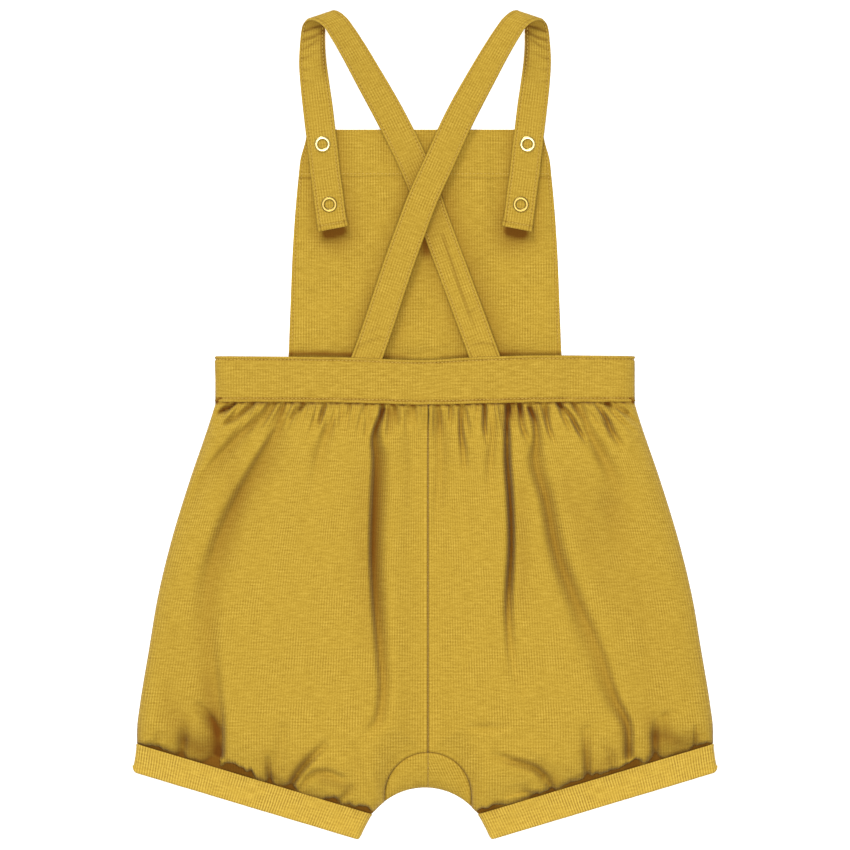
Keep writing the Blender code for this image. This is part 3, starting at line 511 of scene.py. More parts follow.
STRAP_CREASES = (
    Crease(((-72.0, 236.0), (-66.0, 238.0), (-60.6, 238.8)), (0.8, 1.1, 0.7), (0.8,), (0.9,)),
    Crease(((-73.0, 230.4), (-67.0, 232.4), (-60.4, 235.6)), (0.8, 1.1, 0.6), (0.9,), (1.0,)),
    Crease(((-73.4, 225.4), (-67.4, 228.2), (-63.0, 231.0)), (0.5, 0.8, 0.3), (0.8,), (0.8,)),
    Crease(((-73.6, 219.6), (-66.0, 222.0)), (0.6, 0.2), (0.9,), (0.9,)),
    Crease(((-73.0, 213.0), (-68.0, 213.6)), (0.5, 0.2), (0.7,), (0.7,)),
    Crease(((-72.6, 206.0), (-66.0, 205.4)), (0.5, 0.2), (0.7,), (0.7,)),
    Crease(((-60.6, 236.0), (-60.4, 216.0), (-60.0, 206.0)), (0.4, 0.6, 0.2), (1.6,), (1.6,)),
)
STRAP_FOLDS = {
    "left": (
        Crease(
            ((10.5, 114.0), (16.5, 95.0), (23.6, 74.0), (29.6, 58.0)),
            (0.7, 1.0, 0.8, 0.2), (0.7,), (0.9,),
        ),
        Crease(((28.0, 48.0), (36.0, 49.0), (44.0, 46.4)), (0.4, 0.7, 0.3), (0.7,), (0.8,)),
        Crease(((24.0, 66.0), (31.0, 70.0)), (0.3, 0.5), (0.7,), (0.7,)),
    ),
    "right": (
        Crease(((-41.0, 46.0), (-33.0, 50.4), (-26.0, 52.4)), (0.4, 0.7, 0.2), (0.7,), (0.8,)),
        Crease(((-33.0, 56.0), (-27.0, 59.0)), (0.6, 0.2), (0.7,), (0.7,)),
    ),
}
STRAP_WIDTH = 18.0
STRAP_STEPS = 330
STITCH_IN = 1.8  # how far the edge stitching lies from an edge
END_STITCH = 3.4  # and the stitching across a strap's free end
END_HEM = 13.0
SEAM_SHADE = 0.62
PUCKER_SLANT = 0.95  # how far the small gathers at the side lean outwards on their way down
SHADE_DEPTH = 11.0  # a crease sunk this far lies quite out of the light, and gets the full painted shade
HOLLOW_DEPTH = 8.0  # and so does a hollow sunk this far at the cuff
MOST_SHADE = 0.95

# Snaps
RING_WIRE = 1.0  # half the width of a ring's pressed metal
RING_SINK = 0.1
RING_FLATTENED = 0.5
RIM_SLOPE = 0.8  # a ring's faces steeper than this take a darker brass: painted shade on its rims

# Floor, light and camera. Places and sizes here are metres, but the sensor and the lens are millimetres. The
# camera is far off, so the view is nearly free of perspective.
FLOOR_SIZE = 12.0
FLOOR_LEVEL = -0.0004
FLOOR_GLOW = 0.35
TENT_LIGHT = 0.42
Lamp = namedtuple("Lamp", "name place size power")
LAMPS = (
    Lamp("overhead", (0.0, -0.15, 1.7), 0.8, 27.0),
    Lamp("top_side", (-0.9, 3.0, 2.8), 1.5, 84.0),
)
SENSOR = 36.0
LENS = 200.0
VIEW_WIDTH = 0.510

# Painted shadow: how much of the light the straps, their lifted ends and the waistband keep off the cloth
# beside them
OVER_SHADE = Crease(
    ((-37.0, 34.0), (-11.5, 108.3), (-0.4, 137.7), (9.0, 158.4), (19.6, 184.0)),
    (0.5, 0.5, 0.5, 0.34, 0.14), (13.5,), (12.0,),
)
BIB_SHADES = (
    OVER_SHADE,
    Crease(
        ((38.0, 34.0), (21.0, 81.0), (5.7, 122.4), (-4.6, 151.5), (-19.1, 184.0)),
        (0.55, 0.55, 0.5, 0.34, 0.2), (15.0,), (11.5,),
    ),
    Crease(((-62.9, 184.0), (-59.4, 149.0), (-55.0, 117.0)), (0.5, 0.5, 0.7), (11.0,), (12.5,)),
    Crease(((62.9, 184.0), (59.4, 149.0), (55.0, 117.0)), (0.5, 0.5, 0.7), (12.5,), (11.0,)),
    Crease(((-58.6, 114.8), (-50.4, 116.6)), (1.3,), (2.3,), (2.3,)),
    Crease(((58.6, 114.8), (50.4, 116.6)), (1.3,), (2.3,), (2.3,)),
    Crease(((0.6, 112.0), (1.0, 104.0)), (0.5,), (3.4,), (3.4,)),
    Crease(
        ((-82.0, 42.6), (-60.0, 42.6), (-44.0, 42.0), (-10.0, 40.6)),
        (0.8, 0.9, 0.7, 0.3), (1.7,), (1.7,),
    ),
    Crease(((10.0, 40.6), (48.0, 42.6), (82.0, 42.8)), (0.3, 0.6, 0.5), (1.7,), (1.7,)),
)

SIDES = {"left": -1, "right": 1}


# Curves and easing


def smooth(knots, values, at):
    """A smooth curve through the values at their knots, read at the given places."""
    knots, values, at = np.array(knots, float), np.array(values, float), np.asarray(at, float)
    if knots[0] > knots[-1]:
        knots, values = knots[::-1], values[::-1]
    steps = np.diff(knots)
    rates = (np.diff(values, axis=0).T / steps).T
    inner = ((rates[:-1].T * steps[1:] + rates[1:].T * steps[:-1]) / (steps[:-1] + steps[1:])).T
    slopes = np.concatenate([rates[:1], inner, rates[-1:]])
    i = np.clip(np.searchsorted(knots, at) - 1, 0, len(steps) - 1)
    t = np.clip((at - knots[i]) / steps[i], 0, 1)
    step = steps[i]
    if values.ndim == 2:
        t, step = t[..., None], step[..., None]
    rise = 3 * t**2 - 2 * t**3
    bend = t * (1 - t) * ((1 - t) * slopes[i] - t * slopes[i + 1]) * step
    return values[i] * (1 - rise) + values[i + 1] * rise + bend


def column(rows, name):
    return [getattr(row, name) for row in rows]


def ease(x):
    x = np.clip(x, 0, 1)
    return x * x * (3 - 2 * x)


def swell(x):
    """0 to 1, steep at first, as cloth blows up from a gathered seam."""
    return np.sin(np.clip(x, 0, 1) * math.pi / 2)


def rolled(x):
    """0 to 1 round a quarter circle, as a folded edge rises."""
    return np.sqrt(np.clip(1 - (1 - np.clip(x, 0, 1)) ** 2, 0, 1))


def bump(distance, width):
    """1 on a line, falling off to both sides of it."""
    return np.exp(-((distance / width) ** 2))


def half_width(rows, y):
    return smooth(column(rows, "y"), column(rows, "half"), y)


def band_low(x):
    return smooth(column(BACK_BAND, "x"), column(BACK_BAND, "low"), x)


def band_high(x):
    return smooth(column(BACK_BAND, "x"), column(BACK_BAND, "high"), x)


def front_band_low(x):
    return np.full(np.shape(x), FRONT_BAND_LOW)


def arch_y(x):
    return ARCH_CENTRE_Y + np.sqrt(ARCH_RADIUS**2 - np.asarray(x, float) ** 2)


def spaced(length, coarse, edge=(0.0, 0.12, 0.35, 0.7, 1.1, 1.5, 1.9, 2.3, 2.8, 3.5, 4.5)):
    """Places along a length, close together near both ends."""
    edge = np.array(edge)
    between = max(2, round((length - 2 * edge[-1]) / coarse) + 1)
    middle = np.linspace(edge[-1], length - edge[-1], between)
    return np.concatenate([edge[:-1], middle, length - edge[-2::-1]])


def rounding(distance, wall):
    """How much of a wall's half thickness is left near its turned edge."""
    return EDGE_LEFT + (1 - EDGE_LEFT) * rolled(distance / (TURNED_EDGE * wall))


def ripple(grid, size, seed):
    """Slow unevenness from -1 to 1 over a grid of points, with hills about that many millimetres across."""
    flat = grid.reshape(-1, 3)
    values = [noise.noise(Vector((x / size, y / size, seed))) for x, y, _ in flat]
    return np.array(values).reshape(grid.shape[:-1])


def unit(vectors):
    return vectors / np.maximum(np.linalg.norm(vectors, axis=-1, keepdims=True), 1e-9)


def normals(grid):
    """Upward unit normals of a grid of points."""
    across = np.cross(np.gradient(grid, axis=0), np.gradient(grid, axis=1))
    across[across[..., 2] < 0] *= -1
    return unit(across)


def lengths(grid, axis):
    """Distance run along a grid's rows or columns, from 0."""
    steps = np.linalg.norm(np.diff(grid, axis=axis), axis=-1)
    first = np.zeros_like(np.take(steps, [0], axis=axis))
    return np.concatenate([first, np.cumsum(steps, axis=axis)], axis=axis)


# Making pieces


def own(thing, slot, *nodes):
    """The piece rides on the garment's one body and stands for its CAD nodes. slot is not used."""
    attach(thing, "root")
    if nodes:
        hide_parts(*nodes)
    return thing


def cloth_shell(name, top, bottom, uv, material, ring=False, painted_shade=None):
    """A closed wall between two grids of points, with a UV map in metres.

    A ring's last column joins its first. painted_shade is 0 to 1 over the upper grid, or a pair of these
    for both grids: the shade painted into the cloth's colour for how far out of the light the cloth lies.
    """
    rows, columns = top.shape[:2]
    points = np.concatenate([top.reshape(-1, 3), bottom.reshape(-1, 3)]) * MM
    index = np.arange(rows * columns).reshape(rows, columns)
    if ring:
        index = np.concatenate([index, index[:, :1]], axis=1)
    span = np.arange(index.size).reshape(index.shape)

    def quads(grid, below):
        """Corners of the faces over, under and round the edge, from the upper grid and the lower one."""
        faces = [
            (grid[:-1, :-1], grid[1:, :-1], grid[1:, 1:], grid[:-1, 1:]),
            (below[:-1, 1:], below[1:, 1:], below[1:, :-1], below[:-1, :-1]),
            (grid[0, 1:], below[0, 1:], below[0, :-1], grid[0, :-1]),
            (grid[-1, :-1], below[-1, :-1], below[-1, 1:], grid[-1, 1:]),
        ]
        if not ring:
            faces.append((grid[:-1, 0], below[:-1, 0], below[1:, 0], grid[1:, 0]))
            faces.append((grid[1:, -1], below[1:, -1], below[:-1, -1], grid[:-1, -1]))
        return np.concatenate([np.stack(corners, axis=-1).reshape(-1, 4) for corners in faces])

    faces = quads(index, index + rows * columns)
    uv_corners = quads(span, span)
    if volume(points, faces) < 0:
        faces, uv_corners = faces[:, ::-1], uv_corners[:, ::-1]
    data = bpy.data.meshes.new(name)
    data.vertices.add(len(points))
    data.vertices.foreach_set("co", points.ravel())
    data.loops.add(faces.size)
    data.loops.foreach_set("vertex_index", faces.ravel())
    data.polygons.add(len(faces))
    data.polygons.foreach_set("loop_start", np.arange(0, faces.size, 4))
    layer = data.uv_layers.new(name="cut")
    layer.data.foreach_set("uv", (uv.reshape(-1, 2)[uv_corners.ravel()] * MM).ravel())
    # the painted shade is kept in a point attribute, which the cloth's material darkens its colour by
    if painted_shade is not None:
        depth = data.attributes.new("painted_shade", "FLOAT", "POINT")
        above, below = painted_shade if isinstance(painted_shade, tuple) else (painted_shade, np.zeros(painted_shade.shape))
        shade = np.concatenate([above.ravel(), below.ravel()])
        depth.data.foreach_set("value", shade.astype(np.float32))
    data.update(calc_edges=True)
    data.validate()
    data.shade_smooth()
    data.materials.append(material)
    thing = bpy.data.objects.new(name, data)
    bpy.context.scene.collection.objects.link(thing)
    return thing


def volume(points, faces):
    a, b, c, d = (points[faces[:, i]] for i in range(4))
    return ((a * np.cross(b, c)).sum() + (a * np.cross(c, d)).sum()) / 6


def stitches(name, line, up, material, pitch=2.3, stitch=1.7):
    """A row of stitches along a line on the cloth, as one mesh. up is the cloth's normal at each point."""
    run = lengths(line[None], 1)[0]
    centres = np.arange(pitch / 2, run[-1] - pitch / 2, pitch)
    at = np.stack([np.interp(centres, run, line[:, k]) for k in range(3)], axis=1)
    ahead = np.stack([np.interp(centres + 0.3, run, line[:, k]) for k in range(3)], axis=1)
    tops = unit(np.stack([np.interp(centres, run, up[:, k]) for k in range(3)], axis=1))
    along = unit(ahead - at)
    side = unit(np.cross(tops, along))
    # place along the stitch, size and lift of each ring of points round it
    rings = ((-0.5, 0.35, -0.5), (-0.32, 0.95, 0.1), (0.0, 1.0, 0.3), (0.32, 0.95, 0.1), (0.5, 0.35, -0.5))
    turns = np.linspace(0, 2 * math.pi, 7)[:-1]
    sides = len(turns)
    points, faces = [], []
    for i, centre in enumerate(at):
        base = i * len(rings) * sides
        for shift, size, lift in rings:
            middle = centre + along[i] * shift * stitch + tops[i] * THREAD * lift
            for turn in turns:
                offset = side[i] * math.cos(turn) + tops[i] * math.sin(turn)
                points.append(middle + offset * THREAD * size)
        for ring in range(len(rings) - 1):
            for k in range(sides):
                a, b = base + ring * sides + k, base + ring * sides + (k + 1) % sides
                faces.append((a, b, b + sides, a + sides))
        faces.append(tuple(base + k for k in range(sides - 1, -1, -1)))
        faces.append(tuple(base + (len(rings) - 1) * sides + k for k in range(sides)))
    data = bpy.data.meshes.new(name)
    data.from_pydata([tuple(p * MM) for p in points], [], faces)
    if sum(volume_of_face(data, face) for face in data.polygons) < 0:
        data.flip_normals()
    data.shade_smooth()
    data.materials.append(material)
    thing = bpy.data.objects.new(name, data)
    bpy.context.scene.collection.objects.link(thing)
    return own(thing, "cloth")


def volume_of_face(data, face):
    a = data.vertices[face.vertices[0]].co
    rest = [data.vertices[i].co for i in face.vertices[1:]]
    return sum(a.dot(b.cross(c)) for b, c in zip(rest, rest[1:])) / 6


# Materials


def linear(hex_colour):
    """An sRGB hex colour as linear RGBA."""
    parts = [int(hex_colour[i : i + 2], 16) / 255 for i in (0, 2, 4)]
    return [c / 12.92 if c <= 0.04045 else ((c + 0.055) / 1.055) ** 2.4 for c in parts] + [1.0]


def add(tree, kind, links=None, **settings):
    """Adds a node with its settings, and sets its inputs to values or links them to other nodes' sockets."""
    node = tree.nodes.new(kind)
    for name, value in settings.items():
        setattr(node, name, value)
    for name, value in (links or {}).items():
        if isinstance(value, bpy.types.NodeSocket):
            tree.links.new(value, node.inputs[name])
        else:
            node.inputs[name].default_value = value
    return node


def blank(name):
    material = bpy.data.materials.new(name)
    material.use_nodes = True
    return material, material.node_tree, material.node_tree.nodes["Principled BSDF"]


def waffle_cotton(name, dark, body, light, crease, ribbed=0.2, slub=SLUB, depth=0.16):
    """Waffle-weave cotton, piece dyed. Ribs run down the cloth and finer bars across it, with slubs where the
    yarn is thick, so the surface is matt, finely gridded and a little streaky. Single yarns are only a fine
    grain. Where the cloth lies out of the light, painted shade turns its colour darker and warmer."""
    material, tree, shader = blank(name)
    place = add(tree, "ShaderNodeUVMap", uv_map="cut")
    wander = add(tree, "ShaderNodeTexNoise", {"Vector": place.outputs["UV"], "Scale": WANDER, "Detail": 2.0})
    sway = add(
        tree,
        "ShaderNodeVectorMath",
        {0: wander.outputs["Color"], 1: (0.0007, 0.0007, 0.0)},
        operation="MULTIPLY",
    )
    moved = add(
        tree,
        "ShaderNodeVectorMath",
        {0: place.outputs["UV"], 1: sway.outputs["Vector"]},
        operation="ADD",
    )
    split = add(tree, "ShaderNodeSeparateXYZ", {"Vector": moved.outputs["Vector"]})
    turns = []
    for axis, pitch in (("X", RIB), ("Y", BAR)):
        cycles = 2 * math.pi / (pitch * MM)
        angle = add(tree, "ShaderNodeMath", {0: split.outputs[axis], 1: cycles}, operation="MULTIPLY")
        turns.append(add(tree, "ShaderNodeMath", {0: angle.outputs[0]}, operation="SINE"))
    ribs = add(tree, "ShaderNodeMath", {0: turns[0].outputs[0], 1: ribbed}, operation="MULTIPLY")
    grid = add(
        tree,
        "ShaderNodeMath",
        {0: turns[1].outputs[0], 1: BAR_HEIGHT, 2: ribs.outputs[0]},
        operation="MULTIPLY_ADD",
    )
    stretch = add(tree, "ShaderNodeMapping", {"Vector": place.outputs["UV"], "Scale": SLUB_CYCLES})
    slubs = add(
        tree,
        "ShaderNodeTexNoise",
        {"Vector": stretch.outputs["Vector"], "Scale": 1.0, "Detail": 3.0},
    )
    yarn = add(
        tree, "ShaderNodeTexNoise", {"Vector": place.outputs["UV"], "Scale": YARN_CYCLES, "Detail": 2.0}
    )
    patch = add(
        tree, "ShaderNodeTexNoise", {"Vector": place.outputs["UV"], "Scale": PATCH_CYCLES, "Detail": 3.0}
    )
    share = add(
        tree,
        "ShaderNodeMapRange",
        {"Value": patch.outputs["Fac"], "From Min": 0.35, "From Max": 0.65, "To Min": 0.3, "To Max": 1.15},
    )
    weave = add(
        tree,
        "ShaderNodeMath",
        {0: grid.outputs[0], 1: share.outputs["Result"]},
        operation="MULTIPLY",
    )
    # weaker slubs leave the mean height, and so the mean colour, where it was
    middling = 0.5 * (SLUB - slub)
    level = add(tree, "ShaderNodeMath", {0: weave.outputs[0], 1: middling}, operation="ADD")
    uneven = add(
        tree,
        "ShaderNodeMath",
        {0: slubs.outputs["Fac"], 1: slub, 2: level.outputs[0]},
        operation="MULTIPLY_ADD",
    )
    height = add(
        tree,
        "ShaderNodeMath",
        {0: yarn.outputs["Fac"], 1: 1.0, 2: uneven.outputs[0]},
        operation="MULTIPLY_ADD",
    )
    relief = add(
        tree, "ShaderNodeBump", {"Height": height.outputs[0], "Distance": depth * MM, "Strength": 1.0}
    )
    tone = add(
        tree,
        "ShaderNodeMapRange",
        {"Value": height.outputs[0], "From Min": 0.45, "From Max": 1.65, "To Min": 0.0, "To Max": 1.0},
    )
    ramp = add(tree, "ShaderNodeValToRGB", {"Fac": tone.outputs["Result"]})
    ramp.color_ramp.elements[0].color = linear(dark)
    ramp.color_ramp.elements[1].color = linear(light)
    ramp.color_ramp.elements.new(0.5).color = linear(body)
    # painted shade: the colour is mixed towards the crease colour as far as the painted_shade attribute says
    painted_shade = add(tree, "ShaderNodeAttribute", attribute_name="painted_shade")
    shade_mix = add(
        tree,
        "ShaderNodeMix",
        {0: painted_shade.outputs["Fac"], 6: ramp.outputs["Color"], 7: linear(crease)},
        data_type="RGBA",
    )
    tree.links.new(shade_mix.outputs[2], shader.inputs["Base Color"])
    tree.links.new(relief.outputs["Normal"], shader.inputs["Normal"])
    shader.inputs["Roughness"].default_value = 0.9
    shader.inputs["Specular IOR Level"].default_value = 0.15
    shader.inputs["Sheen Weight"].default_value = 0.04
    shader.inputs["Sheen Roughness"].default_value = 0.5
    return material


def sewing_thread(name, colour):
    """Polyester sewing thread, twisted: smoother and lighter than the cloth, so stitches catch the light."""
    material, tree, shader = blank(name)
    place = add(tree, "ShaderNodeTexCoord")
    twist = add(
        tree,
        "ShaderNodeTexNoise",
        {"Vector": place.outputs["Object"], "Scale": 2500.0, "Detail": 1.0},
    )
    relief = add(
        tree,
        "ShaderNodeBump",
        {"Height": twist.outputs["Fac"], "Distance": 0.05 * MM, "Strength": 0.6},
    )
    tree.links.new(relief.outputs["Normal"], shader.inputs["Normal"])
    shader.inputs["Base Color"].default_value = linear(colour)
    shader.inputs["Roughness"].default_value = 0.62
    return material


def plated_brass(name, colour, roughness):
    """Pressed brass with a pale gold plating: bright, with fine marks that soften its reflections."""
    material, tree, shader = blank(name)
    place = add(tree, "ShaderNodeTexCoord")
    marks = add(
        tree, "ShaderNodeTexNoise", {"Vector": place.outputs["Object"], "Scale": 900.0, "Detail": 4.0}
    )
    dull = add(
        tree,
        "ShaderNodeMapRange",
        {"Value": marks.outputs["Fac"], "To Min": roughness * 0.7, "To Max": roughness * 1.4},
    )
    relief = add(
        tree,
        "ShaderNodeBump",
        {"Height": marks.outputs["Fac"], "Distance": 0.02 * MM, "Strength": 0.5},
    )
    tree.links.new(dull.outputs["Result"], shader.inputs["Roughness"])
    tree.links.new(relief.outputs["Normal"], shader.inputs["Normal"])
    shader.inputs["Base Color"].default_value = linear(colour)
    shader.inputs["Metallic"].default_value = 1.0
    return material


# Waistband


def band_rows(low, high):
    """Places down the band, close together at both edges, and how far each is from the two edges."""
    depth = (high - low)[None, :]
    share = spaced(BAND_DEPTH, 1.6)[:, None] / BAND_DEPTH
    y = high[None, :] - depth * share
    return y, depth * share, depth * (1 - share)


def seam_relief(from_edge, stitched):
    """The bead of a turned edge, and the groove that its stitching pulls into the cloth."""
    return 0.4 * bump(from_edge - 1.1, 0.75) - 0.8 * bump(from_edge - stitched, 0.5)


def seam_shade(from_edge, stitched, width=0.4):
    """0 to 1 of painted shade, for how far the cloth is out of the light in a stitched groove."""
    return SEAM_SHADE * bump(from_edge - stitched, width)


def make_waistband(cloth, thread):
    roll = np.linspace(0, math.pi / 2, BAND_ROLL_STEPS)
    side = WAIST_HALF - DOUBLE / 2 - BAND_ROLL * (1 - np.cos(roll))
    level = np.linspace(side[-1], -side[-1], BAND_STEPS)[1:-1]
    x = np.concatenate([side, level, -side[::-1]])
    pull = 0.35 * np.sin(x / 3.1) * np.sin(x / 11.0 + 1.0)
    y, from_top, from_low = band_rows(band_low(x) + 0.3 * pull, band_high(x))
    top = BAND_TOP - DOUBLE / 2
    z = BAND_FOOT + (top - BAND_FOOT) * rolled((WAIST_HALF - DOUBLE / 2 - np.abs(x)) / BAND_ROLL)
    middle = np.dstack([np.broadcast_to(x, y.shape), y, np.broadcast_to(z, y.shape)])
    offset = normals(middle)
    offset[..., 1] = 0
    offset = unit(offset)
    half = DOUBLE / 2 * rounding(np.minimum(from_top, from_low), DOUBLE)
    puckers = 0.8 * ripple(middle * (1, 0.35, 1), 7.0, 3.0) + 1.0 * ripple(middle, 30.0, 8.0)
    relief = seam_relief(from_low, BAND_LOW_STITCH) + seam_relief(from_top, BAND_TOP_STITCH) * 0.8
    relief = relief + puckers * ease(from_low / 4) * ease(from_top / 4)
    upper = middle + offset * (half + relief)[..., None]
    lower = middle - offset * half[..., None]
    uv = np.dstack([lengths(middle, 1), np.broadcast_to(y, y.shape)])
    # painted shade in the stitched grooves, uneven along the band
    uneven_shade = 0.7 + 0.6 * ripple(middle * (1, 0.1, 1), 5.0, 12.0)
    shade = BAND_LOW_SHADE * seam_shade(from_low, BAND_LOW_STITCH, BAND_GROOVE_WIDTH)
    shade = (shade + BAND_TOP_SHADE * seam_shade(from_top, BAND_TOP_STITCH)) * uneven_shade
    band = cloth_shell("waistband_back_cloth", upper, lower, uv, cloth, painted_shade=np.clip(shade, 0, 1))
    own(band, "doubled_cloth", "waistband_back")
    for name, edge, inset in (("low", from_low, BAND_LOW_STITCH), ("top", from_top, BAND_TOP_STITCH)):
        row = np.abs(edge - inset).mean(axis=1).argmin()
        line = upper[row] + offset[row] * 0.05
        stitches(f"waistband_{name}_stitches", line[4:-4], offset[row][4:-4], thread)


def make_front_waistband(cloth):
    across = np.linspace(-WAIST_HALF, WAIST_HALF, 200)
    low, high = np.full(len(across), FRONT_BAND_LOW), np.full(len(across), FRONT_BAND_HIGH)
    y, from_top, from_low = band_rows(low, high)
    plan = np.dstack([np.broadcast_to(across, y.shape), y, np.zeros(y.shape)])
    edge = rounding(np.minimum(from_top, from_low), FRONT_BAND_WALL) * FRONT_BAND_WALL / 2
    groove = 0.25 * (bump(from_low - 2.0, 0.5) + bump(from_top - 2.0, 0.5))
    upper, lower = plan.copy(), plan.copy()
    upper[..., 2] = FRONT_BAND_WALL / 2 + edge
    lower[..., 2] = FRONT_BAND_WALL / 2 - edge + groove
    uv = plan[..., :2]
    front = cloth_shell("waistband_front_cloth", upper, lower, uv, cloth)
    own(front, "doubled_cloth", "waistband_front")


# Legs


def leg_plan(side, columns, seam_rows, arc_rows, inseam_rows, inset, band_edge, seam_gap=SEAM):
    """Plan points of a leg panel: rows from the band to the cuff, columns from the side to the middle."""
    hem = seam_gap / 2
    outer_y = np.concatenate(
        [
            np.linspace(band_edge(side * WAIST_HALF) - SEAM, ROW_LEVEL_OUTER, seam_rows + 1),
            np.linspace(ROW_LEVEL_OUTER, CUFF_OUTER_TOP[1] + SEAM, arc_rows + inseam_rows + 1)[1:],
        ]
    )
    outer = np.stack([side * (half_width(SIDE, outer_y) - inset), outer_y], axis=1)
    reach = GUSSET_RADIUS + hem
    seam_y = np.linspace(band_edge(CENTRE_X) - SEAM, GUSSET_CENTRE_Y + reach, seam_rows + 1)
    seam = np.stack([np.full(len(seam_y), CENTRE_X + side * hem), seam_y], axis=1)
    turn = np.linspace(0, math.pi / 2, arc_rows + 1)[1:]
    arc = np.stack([CENTRE_X + side * reach * np.sin(turn), GUSSET_CENTRE_Y + reach * np.cos(turn)], axis=1)
    tip_x = abs(arc[-1, 0]) + 0.3
    cuff_x = abs(CUFF_INNER_TOP[0]) - 0.3
    inseam_x = np.linspace(tip_x, cuff_x, inseam_rows)
    inseam = np.stack([side * inseam_x, arch_y(inseam_x) + 0.5], axis=1)
    inner = np.concatenate([seam, arc, inseam])
    across = np.linspace(0, 1, columns + 1)[None, :, None]
    across = 1 - (1 - across**1.2) ** 1.15
    plan = outer[:, None] * (1 - across) + inner[:, None] * across
    rise = band_edge(plan[0, :, 0]) - SEAM - plan[0, :, 1]
    fade = 1 - ease((plan[0, :, 1] - plan[:, :, 1]) / 25)
    plan[..., 1] += rise * fade
    return plan


def carried_on(plan, side):
    """The plan with its cloth carried on under the waistband and into the cuff."""
    cuff = unit(np.array(CUFF_INNER_TOP) - CUFF_OUTER_TOP) * (-side, 1)
    into = np.array((side * cuff[1], -side * cuff[0]))
    into = into if into[1] < 0 else -into
    above = [plan[:1] + (0, reach) for reach in UNDER_BAND]
    narrow = 1 - CUFF_NARROWING * np.array(IN_CUFF)
    below = [plan[-1:] + into * reach for reach in IN_CUFF]
    middle = plan[-1].mean(axis=0)
    below = [middle + (row - middle) * share for row, share in zip(below, narrow)]
    return np.concatenate(above + [plan] + below), len(above), len(below)


def crease_depth(creases, x, y):
    """How far the creases take the cloth down at each point."""
    total = np.zeros_like(x)
    for crease in creases:
        path = np.array(crease.path, float)
        run = np.concatenate([[0], np.cumsum(np.hypot(*np.diff(path, axis=0).T))])
        count = max(8, int(run[-1] / 0.8))
        fine = smooth(run, path, np.linspace(0, run[-1], count))
        knots = np.interp(np.linspace(0, run[-1], count), run, range(len(path)))
        depth, west, east = (
            np.interp(knots, np.linspace(0, len(path) - 1, len(values)), values)
            for values in (crease.depth, crease.west, crease.east)
        )
        reach = 3 * max(west.max(), east.max())
        near = (x > fine[:, 0].min() - reach) & (x < fine[:, 0].max() + reach)
        near &= (y > fine[:, 1].min() - reach) & (y < fine[:, 1].max() + reach)
        if not near.any():
            continue
        px, py = x[near], y[near]
        nearest = ((px[:, None] - fine[:, 0]) ** 2 + (py[:, None] - fine[:, 1]) ** 2).argmin(axis=1)
        heading = unit(np.gradient(fine, axis=0))[nearest]
        gap = np.stack([px, py], axis=1) - fine[nearest]
        past = (gap * heading).sum(axis=1)
        across = heading[:, 0] * gap[:, 1] - heading[:, 1] * gap[:, 0]
        ended = (nearest == 0) | (nearest == count - 1)
        distance = np.where(ended, np.hypot(across, past), np.abs(across))
        width = np.where(across > 0, east[nearest], west[nearest])
        total[near] += depth[nearest] * np.exp(-((distance / width) ** 2))
    return total


def edge_shape(rows, down, distance):
    """Height of an edge, and 0 to 1 for how far the cloth has risen at a distance from it."""
    height, reach, roundness = (
        smooth(column(rows, "down"), column(rows, name), down) for name in ("height", "reach", "round")
    )
    near = distance / reach
    return height, ease(near) * (1 - roundness) + rolled(near) * roundness


def gather_shape(word, x, above_cuff, crown):
    """Height of the cloth where it goes into the cuff, round the hollows between its gathers."""
    rows = GATHERS[word]
    knots = column(rows, "x")
    low, hole, reach = (smooth(knots, column(rows, name), x) for name in ("low", "hole", "reach"))
    reach = np.maximum(reach, 1.5)
    uneven = plan3(np.dstack([x, above_cuff]))
    hole = hole * (1 + 0.9 * ripple(uneven * (1, 0.3, 1), 4.0, 14.0)) + 0.5 * ripple(uneven, 2.2, 15.0)
    local = CUFF_CROWN + (crown - CUFF_CROWN) * swell(above_cuff / CUFF_RISE)
    return low + (local - low) * rolled((above_cuff - np.maximum(hole, 0)) / reach) ** 1.15


